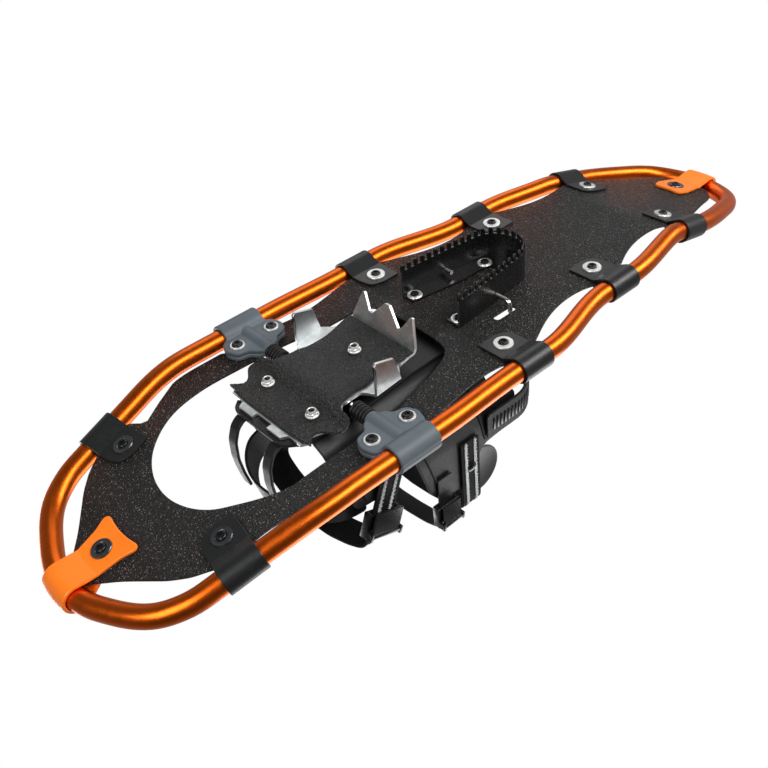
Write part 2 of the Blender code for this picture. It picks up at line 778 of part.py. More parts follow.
def crampon_plate_point(point, fold, shift=0.0):
    """Where a point of the flat crampon blank goes once its sides and its rear are bent down."""
    edge = CRAMPON_FOLD_X
    across = Fold([(-edge, -0.1), (-edge, 0.0), (edge, 0.0), (edge, -0.1)], [-edge - 0.1, -edge, edge, edge + 0.1])
    side = across.place(point.x, point.z)
    place = fold.place(point.y, side.y + shift)
    return Vector((side.x, place.x, place.y))


def crampon_outline():
    """The right half of the crampon's blank, from its front edge to its rear teeth."""
    front = [(0, 52), (9, 52), (9, 57), (26, 57), (29, 51.5), (43, 51.5), (46, 46), (42, 40)]
    bulge = [(44, 33), (47.5, 27), (47.5, 13), (40, 9), (39, -10), (44, -15)]
    tab = [(48.5, -17), (69.5, -14), (77.6, -22.5), (70.5, -39), (48.5, -42)]
    rear = [(38, -50), (37, -62), (37, -68), (37, -72), (29.0, -94.2), (27, -94.2)]
    teeth = [(18.5, -81), (15.5, -80), (2.5, -94.2), (0, -94.2)]
    return scaled(front + bulge + tab + rear + teeth)


def pad_outline():
    """The right half of the grip pad's outline."""
    stations = (
        (50.0, 48.0, 0.0, 1),
        (43.5, 38.0, -80.0, 3),
        (57.5, 23.0, -80.0, 3),
        (55.0, 13.0, -140.0, 2),
        (39.5, 7.5, -120.0, 2),
        (36.0, -14.0, -95.0, 2),
        (33.5, -36.0, -88.0, 3),
        (37.0, -58.0, -80.0, 1),
        (37.5, -66.5, -90.0, 1),
    )
    front = scaled([(0.0, 50.0), (30.0, 50.0)])
    side = smooth_line([(x * MM, y * MM, turn, steps) for x, y, turn, steps in stations])
    return front + side + scaled([(0.0, -66.5)])


def bolt_holes():
    """The three bolt holes of the crampon, its pad and the foot plate."""
    centres = [(0.0, REAR_BOLT_Y), FRONT_BOLT, (-FRONT_BOLT[0], FRONT_BOLT[1])]
    return [circle(centre, 3.1 * MM) for centre in centres]


def add_toe_crampon():
    """The aluminium crampon, the grip pad under it and the three bolts that hold them."""
    fold = crampon_fold()
    blank = slab([both_sides(crampon_outline()), *bolt_holes()], CRAMPON)
    score(blank, 0, [-CRAMPON_FOLD_X, CRAMPON_FOLD_X])
    score(blank, 1, fold.stops[1:-1])
    move_points(blank, lambda p: crampon_plate_point(p, fold))
    add_node("toe_crampon", blank, "aluminium", BINDING)
    pad = slab([both_sides(pad_outline()), *bolt_holes()], PAD)
    score(pad, 1, fold.stops[1:-1])
    shift = -(CRAMPON / 2 + GAP + PAD / 2)

    def under_plate(point):
        place = fold.place(point.y, point.z + shift)
        return Vector((point.x, place.x, place.y))

    move_points(pad, under_plate)
    add_node("grip_pad", pad, "grip black", BINDING)
    names = ("crampon_bolt_rear", "crampon_bolt_front_right", "crampon_bolt_front_left")
    centres = ((0.0, REAR_BOLT_Y), FRONT_BOLT, (-FRONT_BOLT[0], FRONT_BOLT[1]))
    for name, (x, y) in zip(names, centres):
        add_crampon_bolt(name, x, y, fold)


def add_crampon_bolt(name, x, y, fold):
    """A bolt from the foot plate down to a domed nut under the pad, with a collar between them."""
    plate_top = (PLATE_Z + PLATE / 2) / MM
    plate_low = (PLATE_Z - PLATE / 2) / MM
    metal = fold.place(y, 0.0).y / MM
    lean = 0.45
    collar_low = metal + 1.25 + lean + 0.3
    nut_top = metal - 1.25 - 0.3 - 2.2 - lean - 0.3
    profile = [(0, plate_top + 1.9), (4.0, plate_top + 1.7), (5.0, plate_top + 0.3), (2.2, plate_top + 0.3)]
    if plate_low - collar_low > 1.5:
        profile += [(2.2, plate_low - 0.3), (4.5, plate_low - 0.3), (4.5, collar_low), (2.2, collar_low)]
    profile += [(2.2, nut_top), (4.9, nut_top), (4.9, nut_top - 1.0), (4.1, nut_top - 1.2)]
    profile += [(4.1, nut_top - 3.0), (2.8, nut_top - 4.6), (0, nut_top - 5.2)]
    place_turned(name, scaled(profile), Vector((x, y, 0.0)), (0, 0, 1), "nickel", BINDING)


# ---------------------------------------------------------------- heel crampon


def heel_wall_line():
    """The plan view of the heel crampon's wall: two sides that close in to a round rear."""
    side = [(33.0, -119.0), (32.5, -135.0), (29.5, -165.0), (25.0, -196.0)]
    return scaled(side)


def add_heel_crampon():
    """The steel heel crampon: a toothed wall bent to a U, on a flange under the deck."""
    side = heel_wall_line()
    corner = Vector((0.0, -196.0 * MM))
    turns = [math.radians(-8 - 82 * i / 5) for i in range(6)]
    reach = Vector((25.2 * MM, 24.0 * MM))
    bend = [(corner.x + reach.x * math.cos(t), corner.y + reach.y * math.sin(t)) for t in turns]
    half = side[:-1] + bend
    line = half + [(-x, y) for x, y in reversed(half[:-1])]
    fold = Fold(line)
    total = fold.stops[-1]
    top = deck_height(LIFTER_Y) - DECK / 2 - GAP - 0.2 * MM
    pitch = total / round(total / (6.4 * MM))
    count = round(total / pitch)
    tip = -TOOTH_DEPTH

    def root(s):
        return tip + 3.6 * MM + 0.8 * MM * (2 * s / total - 1) ** 2

    teeth = []
    for i in range(count):
        start = i * pitch
        teeth += [(start, root(start)), (start + 0.55 * pitch, tip), (start + 0.75 * pitch, tip)]
    ring = [(0.0, top), *teeth, (total, root(total)), (total, top)]
    wire_at = fold.stops[2]
    holes = [circle((s, LIFTER_Z), LIFTER_WIRE + 0.5 * MM) for s in (wire_at, total - wire_at)]
    wall = slab([ring, *holes], HEEL_STEEL)
    score(wall, 0, fold.stops[1:-1])

    def bent(point):
        place = fold.place(point.x, point.z)
        return Vector((place.x, place.y, point.y))

    move_points(wall, bent)
    inner = [(x * 0.48, y + 13 * MM) for x, y in half[3:]]
    lip = [(20 * MM, -119 * MM), (18 * MM, -135 * MM), (12 * MM, -170 * MM)]
    outer = [(x - 0.25 * MM if x > 0 else x, y + 0.25 * MM) for x, y in half]
    ring = outer + [(-x, y) for x, y in reversed(outer[:-1])]
    ring += [(-x, y) for x, y in lip] + [(-x, y) for x, y in inner[:-1]] + inner[::-1] + lip[::-1]
    holes = [circle((side_x * x, y), SCREW_HOLE) for x, y in HEEL_SCREWS for side_x in (1, -1)]
    flange = slab([ring, *holes], HEEL_STEEL)
    flange.transform(Matrix.Translation((0.0, 0.0, deck_height(LIFTER_Y) - DECK / 2 - GAP - HEEL_STEEL / 2)))
    add_node("heel_crampon", combine(wall, add=[flange]), "black steel")


def rounded_route(points, radius, steps=2):
    """A route in space with its corners rounded."""
    route = [Vector(points[0])]
    for before, here, after in zip(points, points[1:], points[2:]):
        before, here, after = Vector(before), Vector(here), Vector(after)
        start = here + (before - here).normalized() * radius
        end = here + (after - here).normalized() * radius
        for step in range(steps + 1):
            t = step / steps
            route.append(start.lerp(here, t).lerp(here.lerp(end, t), t))
    return route + [Vector(points[-1])]


def add_lifter():
    """The wire heel lifter: its ends sit in the crampon's walls, and it lies back on the deck."""
    out, up, back = LIFTER_HALF, LIFTER_RISE, -LIFTER_REACH
    half = [(21 * MM, 0, 0), (out, 0, 0), (out, 0, up), (out - 1 * MM, back + 10 * MM, up), (24 * MM, back, up)]
    points = half + [(-x, y, z) for x, y, z in reversed(half)]
    add_node("heel_lifter", wire(rounded_route(points, 5 * MM), LIFTER_WIRE, bevel=2), "nickel", LIFTER)


# ---------------------------------------------------------------- binding


def add_foot_plate():
    """The flat plate that the boot stands on."""
    half = [(30, 60, 12), (43, 44, 10), (43, -20, 0), (39, -60, 0), (37, -156, 18)]
    half = [(x * MM, y * MM, r * MM) for x, y, r in half]
    ring = rounded(half + [(-x, y, r) for x, y, r in reversed(half)])
    shape = slab([ring, *bolt_holes()], PLATE)
    shape.transform(Matrix.Translation((0.0, 0.0, PLATE_Z)))
    add_node("foot_plate", shape, "harness black", BINDING)


def add_panels():
    """The two side panels of the harness, each bent up from a flange on the foot plate."""
    base = (PLATE_Z + PLATE / 2 + GAP + PANEL / 2) / MM
    edge = PANEL_X / MM
    points = [(25, base), (41, base), (51, 18), (58, 34), (62.5, 58), (edge, 76), (edge, 140)]
    stops = [base - 16, base, 18, 34, 58, 76, 140]
    fold = Fold(scaled(points), [stop * MM for stop in stops])
    flange = base - 6.5
    corners = [(flange, 38, 3), (base, 40, 6), (46, 36, 12), (74, 26, 8), (78, -12, 8), (56, -32, 12)]
    corners += [(112, -48, 12), (128, -60, 8), (128, -96, 10), (98, -108, 14), (95, -148, 8)]
    corners += [(62, -150, 8), (48, -124, 14), (20, -116, 10), (flange, -114, 3)]
    corners = [(x * MM, y * MM, r * MM) for x, y, r in corners]
    shape = slab([rounded(corners)], PANEL)
    score(shape, 0, fold.stops[1:-1])

    def bent(point):
        place = fold.place(point.x, point.z)
        return Vector((place.x, point.y, place.y))

    move_points(shape, bent)
    add_node("harness_panel_left", mirrored(shape), "harness black", BINDING)
    add_node("harness_panel_right", shape, "harness black", BINDING)


def arch_strap(points, width, thickness, centre, lean=0.0):
    """A strap over the foot, in the plane across it: its width lies along Y, and it may lean."""
    half = scaled(points)
    fold = Fold(half + [(-x, z) for x, z in reversed(half[:-1])])
    ends = [(0.0, -width / 2), (fold.stops[-1], -width / 2)]
    ends += [(x, -y) for x, y in reversed(ends)]
    shape = slab([ends], thickness)
    score(shape, 0, fold.stops[1:-1])

    def bent(point):
        place = fold.place(point.x, point.z)
        return Vector((place.x, point.y + centre + lean * (place.y - 70 * MM), place.y))

    return move_points(shape, bent)


def add_straps():
    """The straps over the forefoot, the instep and the ankle."""
    side = WEBBING_X / MM
    forefoot = [(side, 50), (side, 113), (62, 117), (48, 122), (26, 127), (0, 129)]
    lean = math.tan(-BUCKLE_TURN)
    shape = arch_strap(forefoot, 25 * MM, WEBBING, -4 * MM, lean)
    add_node("forefoot_strap", shape, "webbing", BINDING)
    instep = [(side, 80), (side, 150), (62.5, 155), (48, 160), (24, 165), (0, 167)]
    add_node("instep_strap", arch_strap(instep, 21 * MM, WEBBING, -92 * MM), "webbing", BINDING)
    ankle = [(side, 100), (side, 152), (62, 157), (48, 162), (24, 166), (0, 168)]
    add_node("ankle_strap", arch_strap(ankle, 16 * MM, WEBBING, -62 * MM), "harness black", BINDING)


def ring_strap(stations, low, high, thickness, lean=0.0):
    """A strap round the toe or the heel: its line is a plan view, and its width is upright."""
    half = smooth_line([(x * MM, y * MM, turn, steps) for x, y, turn, steps in stations])
    fold = Fold(half + [(-x, y) for x, y in reversed(half[:-1])])
    ring = [(0.0, low), (fold.stops[-1], low), (fold.stops[-1], high), (0.0, high)]
    shape = slab([rounded([(x, y, 4 * MM) for x, y in ring])], thickness)
    score(shape, 0, fold.stops[1:-1])

    def bent(point):
        place = fold.place(point.x, point.z)
        return Vector((place.x, place.y + lean * (point.y - low), point.y))

    return move_points(shape, bent)


def add_ring_straps():
    """The toe strap, its two links to the foot plate, and the heel strap."""
    inside = (PANEL_X - PANEL / 2 - GAP - 1.5 * MM) / MM
    toe = ((inside - 3.4, 18.0, 92.0, 3), (50.0, 44.0, 128.0, 4), (0.0, 68.0, 180.0, 1))
    add_node("toe_strap", ring_strap(toe, 62 * MM, 88 * MM, 2.4 * MM, -0.25), "harness black", BINDING)
    side = WEBBING_X / MM + 0.4
    heel = ((side, -112.0, -90.0, 2), (side, -150.0, -92.0, 4), (40.0, -188.0, -148.0, 3), (0.0, -196.0, -180.0, 1))
    add_node("heel_strap", ring_strap(heel, 66 * MM, 92 * MM, 2.4 * MM), "harness black", BINDING)
    link = [(48.0, 10.0), (60.0, 10.0), (66.0, 15.0), (70.5, 26.0), (71.5, 42.0), (69.5, 58.0), (66.0, 74.0)]
    fold = Fold(scaled(link))
    for side, name in ((1, "right"), (-1, "left")):
        ring = [(0.0, -5 * MM), (fold.stops[-1], -5 * MM), (fold.stops[-1], 5 * MM), (0.0, 5 * MM)]
        shape = slab([ring], 2.4 * MM)
        score(shape, 0, fold.stops[1:-1])

        def bent(point):
            place = fold.place(point.x, point.z)
            return Vector((point.y + side * 22 * MM, place.x, place.y))

        add_node(f"toe_link_{name}", move_points(shape, bent), "harness black", BINDING)


def buckle_shapes(width):
    """A cam buckle round a strap: its frame, and its lever. X is outward, Y across and Z along."""
    half = width / 2 + 1.2 * MM
    outer = half + 3 * MM
    tall = 11 * MM
    slot = WEBBING / 2 + 0.9 * MM
    body = box((-slot - 1.6 * MM, -outer, -tall), (slot + 1.6 * MM, outer, tall))
    face = slot + 1.6 * MM
    pin = Vector((face + 3.4 * MM, 0.0, tall - 4 * MM))
    ears = []
    for side in (1, -1):
        near, far = sorted((side * (outer - 2.6 * MM), side * outer))
        ears.append(box((0.5 * face, near, pin.z - 3.2 * MM), (pin.x + 2.6 * MM, far, pin.z + 3.2 * MM)))
    cuts = [
        box((-slot, -half, -2 * tall), (slot, half, 2 * tall)),
        cylinder((pin.x, -2 * outer, pin.z), (pin.x, 2 * outer, pin.z), 1.5 * MM, 10),
    ]
    frame = combine(body, add=ears, cut=cuts)
    barrel_end = outer - 2.6 * MM - GAP
    barrel = cylinder((pin.x, -barrel_end, pin.z), (pin.x, barrel_end, pin.z), 2.6 * MM, 12)
    trunnion = cylinder((pin.x, -outer, pin.z), (pin.x, outer, pin.z), 1.2 * MM, 10)
    tongue = box((pin.x - 1.2 * MM, -barrel_end, -tall - 3 * MM), (pin.x + 1.2 * MM, barrel_end, pin.z))
    lever = combine(barrel, add=[trunnion, tongue])
    lever.transform(Matrix.Translation(-pin))
    return frame, lever, pin


def add_buckles():
    """The two cam buckles on the outer side, each with a lever that swings out."""
    spots = (
        ("forefoot", 25 * MM, Vector((WEBBING_X, 7.2 * MM, 98 * MM)), BUCKLE_TURN),
        ("ankle", 16 * MM, Vector((WEBBING_X, -62 * MM, 139.6 * MM)), 0.0),
    )
    for name, width, place, turn in spots:
        frame, lever, pin = buckle_shapes(width)
        pose = Matrix.Translation(place) @ Matrix.Rotation(turn, 4, "X")
        frame.transform(pose)
        add_node(f"{name}_buckle", frame, "harness black", BINDING)
        hinge = add_empty(f"{name}_lever_pivot", pose @ pin, BINDING)
        lever.transform(Matrix.Rotation(turn, 4, "X"))
        add_node(f"{name}_lever", lever, "harness black", hinge)


def add_pull_tab():
    """The round grey pull tab behind the ankle panel."""
    low = PANEL_X - PANEL / 2 - GAP - 2.4 * MM
    ring = circle((-106 * MM, 127 * MM), 24 * MM, 20)
    shape = slab([ring], 2.4 * MM)
    move_points(shape, lambda p: Vector((low + 1.2 * MM + p.z, p.x, p.y)))
    add_node("pull_tab", shape, "tab grey", BINDING)


def main():
    """Builds the snowshoe."""
    add_frame_tube()
    add_side_straps()
    add_end_straps()
    add_deck()
    add_strap_screws()
    add_clamps()
    add_pivot()
    add_clamp_screws()
    add_toe_crampon()
    add_heel_crampon()
    add_heel_screws()
    add_lifter()
    add_foot_plate()
    add_panels()
    add_straps()
    add_ring_straps()
    add_buckles()
    add_pull_tab()


clear_scene()
PARTS = new_collection("snowshoe")
CUTTERS = new_collection("snowshoe_cutters")
MATERIALS = {name: new_material(name, *finish) for name, finish in COLOURS.items()}
FRAME = add_empty("frame_centre", (0.0, PIVOT_Y, TOOTH_DEPTH))
BINDING = add_empty("binding_pivot", (0.0, PIVOT_Y, TOOTH_DEPTH))
LIFTER = add_empty("lifter_pivot", (0.0, PIVOT_Y + LIFTER_Y, TOOTH_DEPTH + LIFTER_Z))
main()
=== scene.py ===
"""The looks of a snowshoe: anodised tube, speckled deck, soft straps, crampons and a strapped binding.

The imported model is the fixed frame. Each piece is drawn round the middle of the pivot rod, in metres,
+Z up and +Y towards the nose, and is then moved to the rod's place in the frame.
"""

from __future__ import annotations

import json
import logging
import math
import sys
from collections.abc import Callable, Sequence
from dataclasses import dataclass, field
from enum import Enum
from typing import Any

import bmesh
import bpy
from mathutils import Matrix, Vector
from mathutils.geometry import interpolate_bezier

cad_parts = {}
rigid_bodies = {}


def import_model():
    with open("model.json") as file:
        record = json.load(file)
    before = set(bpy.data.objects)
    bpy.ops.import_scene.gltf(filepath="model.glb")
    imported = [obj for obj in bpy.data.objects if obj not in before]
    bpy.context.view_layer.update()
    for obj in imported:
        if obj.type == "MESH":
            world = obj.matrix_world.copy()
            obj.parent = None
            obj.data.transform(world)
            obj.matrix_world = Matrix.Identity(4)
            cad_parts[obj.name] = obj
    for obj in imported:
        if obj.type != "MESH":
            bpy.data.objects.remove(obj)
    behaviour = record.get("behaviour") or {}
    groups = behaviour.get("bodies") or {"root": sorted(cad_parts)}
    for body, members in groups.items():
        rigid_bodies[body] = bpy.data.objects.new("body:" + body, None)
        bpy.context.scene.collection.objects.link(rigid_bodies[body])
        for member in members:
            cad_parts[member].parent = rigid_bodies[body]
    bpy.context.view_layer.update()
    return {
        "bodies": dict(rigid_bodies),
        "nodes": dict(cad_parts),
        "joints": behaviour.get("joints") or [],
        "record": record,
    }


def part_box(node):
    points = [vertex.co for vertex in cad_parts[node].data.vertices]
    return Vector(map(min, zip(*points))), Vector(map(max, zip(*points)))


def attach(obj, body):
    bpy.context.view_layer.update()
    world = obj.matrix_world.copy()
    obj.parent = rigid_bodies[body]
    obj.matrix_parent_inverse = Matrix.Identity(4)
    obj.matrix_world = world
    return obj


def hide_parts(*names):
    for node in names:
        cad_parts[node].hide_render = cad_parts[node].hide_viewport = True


LOG = logging.getLogger("snowshoe")
MM = 0.001
GAP = 0.3 * MM

Colour = tuple[float, float, float]
Point2 = tuple[float, float]
Shape = bmesh.types.BMesh


# ------------------------------------------------------------------ node trees


class Desk:
    """Adds and links the nodes of one tree."""

    def __init__(self, tree: bpy.types.NodeTree) -> None:
        """Keeps the tree that the nodes go into."""
        self.tree = tree

    def add(self, kind: str, sockets: dict[str | int, Any] | None = None, **settings: Any) -> bpy.types.Node:
        """Adds one node.

        Args:
            kind: The node's Blender type.
            sockets: Input names or numbers, each with a value or with the socket that feeds it.
            settings: The node's own properties.

        Returns:
            The new node.
        """
        node = self.tree.nodes.new(kind)
        for key, value in settings.items():
            setattr(node, key, value)
        for key, value in (sockets or {}).items():
            if isinstance(value, bpy.types.NodeSocket):
                self.tree.links.new(value, node.inputs[key])
            else:
                node.inputs[key].default_value = value
        return node

    def math(self, operation: str, first: Any, second: Any = 0.0) -> bpy.types.NodeSocket:
        """Adds a Math node and returns its result."""
        return self.add("ShaderNodeMath", {0: first, 1: second}, operation=operation).outputs[0]

    def remap(self, value: Any, start: Point2, end: Sequence[Any]) -> bpy.types.NodeSocket:
        """Adds a clamped Map Range from the range start to the range end."""
        sockets = {"Value": value, "From Min": start[0], "From Max": start[1], "To Min": end[0], "To Max": end[1]}
        return self.add("ShaderNodeMapRange", sockets).outputs["Result"]

    def mix(self, share: Any, first: Any, second: Any) -> bpy.types.NodeSocket:
        """Mixes two colours."""
        first = (*first, 1.0) if isinstance(first, tuple) else first
        second = (*second, 1.0) if isinstance(second, tuple) else second
        node = self.add("ShaderNodeMix", {0: share, 6: first, 7: second}, data_type="RGBA")
        return node.outputs[2]


class Tree(Desk):
    """One Geometry Nodes tree: built once, then grown on as many paths or sets of points as needed."""

    def __init__(self, name: str) -> None:
        """Starts a tree that takes a path or points and a material."""
        super().__init__(bpy.data.node_groups.new(name, "GeometryNodeTree"))
        self.tree.interface.new_socket("Geometry", in_out="OUTPUT", socket_type="NodeSocketGeometry")
        self.start = self.tree.nodes.new("NodeGroupInput")
        self.names: dict[str, str] = {}
        self.seed = self.take("Geometry", "NodeSocketGeometry")
        self.finish = self.take("Material", "NodeSocketMaterial")

    def take(self, name: str, kind: str) -> bpy.types.NodeSocket:
        """Adds a named input and returns the socket that gives its value."""
        item = self.tree.interface.new_socket(name, in_out="INPUT", socket_type=kind)
        self.names[name] = item.identifier
        return self.start.outputs[name]

    def close(self, geometry: bpy.types.NodeSocket) -> Tree:
        """Ends the tree: instances are made real and take the material."""
        real = self.add("GeometryNodeRealizeInstances", {"Geometry": geometry})
        done = self.add("GeometryNodeSetMaterial", {"Geometry": real.outputs[0], "Material": self.finish})
        end = self.tree.nodes.new("NodeGroupOutput")
        self.tree.links.new(done.outputs[0], end.inputs[0])
        return self

    def grow(self, seed: bpy.types.Mesh, look: Look, **values: Any) -> bpy.types.Mesh:
        """Grows the tree on a path or on points.

        Args:
            seed: The mesh that holds the path or the points.
            look: The finish.
            values: The tree's other named inputs, with _ for a space.

        Returns:
            A plain mesh.
        """
        thing = bpy.data.objects.new("seed", seed)
        bpy.context.scene.collection.objects.link(thing)
        modifier = thing.modifiers.new("tree", "NODES")
        modifier.node_group = self.tree
        modifier[self.names["Material"]] = look.value.material()
        for name, value in values.items():
            modifier[self.names[name.replace("_", " ")]] = value
        bpy.context.view_layer.update()
        graph = bpy.context.evaluated_depsgraph_get()
        mesh = bpy.data.meshes.new_from_object(thing.evaluated_get(graph))
        thing.modifiers.clear()
        bpy.data.objects.remove(thing)
        bpy.data.meshes.remove(seed)
        return mesh


def sweep_tree() -> Tree:
    """A round bar along a path, with inputs Radius and Sides."""
    tree = Tree("round bar")
    ring = tree.add(
        "GeometryNodeCurvePrimitiveCircle",
        {"Radius": tree.take("Radius", "NodeSocketFloat"), "Resolution": tree.take("Sides", "NodeSocketInt")},
    )
    path = tree.add("GeometryNodeMeshToCurve", {"Mesh": tree.seed})
    bar = tree.add(
        "GeometryNodeCurveToMesh",
        {"Curve": path.outputs[0], "Profile Curve": ring.outputs[0], "Fill Caps": True},
    )
    smooth = tree.add("GeometryNodeSetShadeSmooth", {"Geometry": bar.outputs[0]})
    return tree.close(smooth.outputs[0])


def put_pieces(tree: Tree, points: bpy.types.NodeSocket, ahead: bpy.types.NodeSocket) -> Tree:
    """Ends a tree with a copy of its input Piece on each point.

    Args:
        tree: The tree.
        points: The points.
        ahead: The way that each copy's X turns. Its Z turns to the point's facing.

    Returns:
        The tree.
    """
    facing = tree.add("GeometryNodeInputNamedAttribute", {"Name": "facing"}, data_type="FLOAT_VECTOR")
    turn = "FunctionNodeAlignRotationToVector"
    up = tree.add(turn, {"Vector": facing.outputs[0]}, axis="Z")
    round_up = tree.add(turn, {"Rotation": up.outputs[0], "Vector": ahead}, axis="X", pivot_axis="Z")
    piece = tree.add("GeometryNodeObjectInfo", {"Object": tree.take("Piece", "NodeSocketObject")})
    sockets = {"Points": points, "Instance": piece.outputs["Geometry"], "Rotation": round_up.outputs[0]}
    return tree.close(tree.add("GeometryNodeInstanceOnPoints", sockets).outputs[0])


def spots_tree() -> Tree:
    """A copy of a piece on each point, with input Piece."""
    tree = Tree("pieces on points")
    ahead = tree.add("GeometryNodeInputNamedAttribute", {"Name": "ahead"}, data_type="FLOAT_VECTOR")
    return put_pieces(tree, tree.seed, ahead.outputs[0])


def row_tree() -> Tree:
    """Copies of a piece at even steps along a path, with inputs Piece and Spacing."""
    tree = Tree("pieces along a path")
    path = tree.add("GeometryNodeMeshToCurve", {"Mesh": tree.seed})
    sockets = {"Curve": path.outputs[0], "Length": tree.take("Spacing", "NodeSocketFloat")}
    even = tree.add("GeometryNodeResampleCurve", sockets, mode="LENGTH")
    return put_pieces(tree, even.outputs[0], tree.add("GeometryNodeInputTangent").outputs[0])


# ------------------------------------------------------------------ finishes


def effect_group(name: str, inputs: dict[str, float], output: str) -> tuple[Desk, bpy.types.Node, bpy.types.Node]:
    """Starts a shader node group.

    Args:
        name: The group's name.
        inputs: Its number inputs with their defaults.
        output: Its one number output.

    Returns:
        The group's desk, its input node and its output node.
    """
    group = bpy.data.node_groups.new(name, "ShaderNodeTree")
    for label, default in inputs.items():
        socket = group.interface.new_socket(label, in_out="INPUT", socket_type="NodeSocketFloat")
        socket.default_value = default
    group.interface.new_socket(output, in_out="OUTPUT", socket_type="NodeSocketFloat")
    return Desk(group), group.nodes.new("NodeGroupInput"), group.nodes.new("NodeGroupOutput")


def grain_group() -> bpy.types.NodeTree:
    """Soft noise between Low and High, at Scale features a metre."""
    desk, start, end = effect_group("grain", {"Scale": 300.0, "Detail": 3.0, "Low": 0.0, "High": 1.0}, "Value")
    place = desk.add("ShaderNodeTexCoord").outputs["Object"]
    noise = desk.add(
        "ShaderNodeTexNoise",
        {"Vector": place, "Scale": start.outputs["Scale"], "Detail": start.outputs["Detail"]},
    )
    value = desk.remap(noise.outputs[0], (0.3, 0.7), (start.outputs["Low"], start.outputs["High"]))
    desk.tree.links.new(value, end.inputs[0])
    return desk.tree


def speck_group() -> bpy.types.NodeTree:
    """Small round specks: Share of the cells hold one, at Scale cells a metre."""
    desk, start, end = effect_group("specks", {"Scale": 600.0, "Share": 0.3, "Width": 0.3}, "Mask")
    place = desk.add("ShaderNodeTexCoord").outputs["Object"]
    cells = desk.add("ShaderNodeTexVoronoi", {"Vector": place, "Scale": start.outputs["Scale"]})
    luck = desk.add("ShaderNodeSeparateColor", {0: cells.outputs["Color"]})
    held = desk.math("LESS_THAN", luck.outputs[0], start.outputs["Share"])
    reach = desk.math("MULTIPLY", start.outputs["Width"], luck.outputs[1])
    near = desk.math("LESS_THAN", cells.outputs["Distance"], reach)
    desk.tree.links.new(desk.math("MULTIPLY", held, near), end.inputs[0])
    return desk.tree


def scuff_group() -> bpy.types.NodeTree:
    """Long faint scratches: Amount of the surface, at Scale a metre."""
    desk, start, end = effect_group("scuffs", {"Scale": 120.0, "Amount": 0.2}, "Mask")
    place = desk.add("ShaderNodeTexCoord").outputs["Object"]
    long = desk.add("ShaderNodeMapping", {"Vector": place, "Rotation": (0.3, 0.2, 0.6), "Scale": (1.0, 9.0, 3.0)})
    noise = desk.add(
        "ShaderNodeTexNoise",
        {"Vector": long.outputs[0], "Scale": start.outputs["Scale"], "Detail": 5.0},
    )
    fade = desk.remap(noise.outputs[0], (0.58, 0.74), (0.0, start.outputs["Amount"]))
    desk.tree.links.new(fade, end.inputs[0])
    return desk.tree


def effect_socket(desk: Desk, name: str, values: dict[str, float]) -> bpy.types.NodeSocket:
    """Places an effect in a material.

    Args:
        desk: The material's desk.
        name: The effect's group, which is built at its first use.
        values: The group's inputs.

    Returns:
        The group's output.
    """
    makers = {"grain": grain_group, "specks": speck_group, "scuffs": scuff_group}
    group = bpy.data.node_groups.get(name) or makers[name]()
    return desk.add("ShaderNodeGroup", values, node_tree=group).outputs[0]


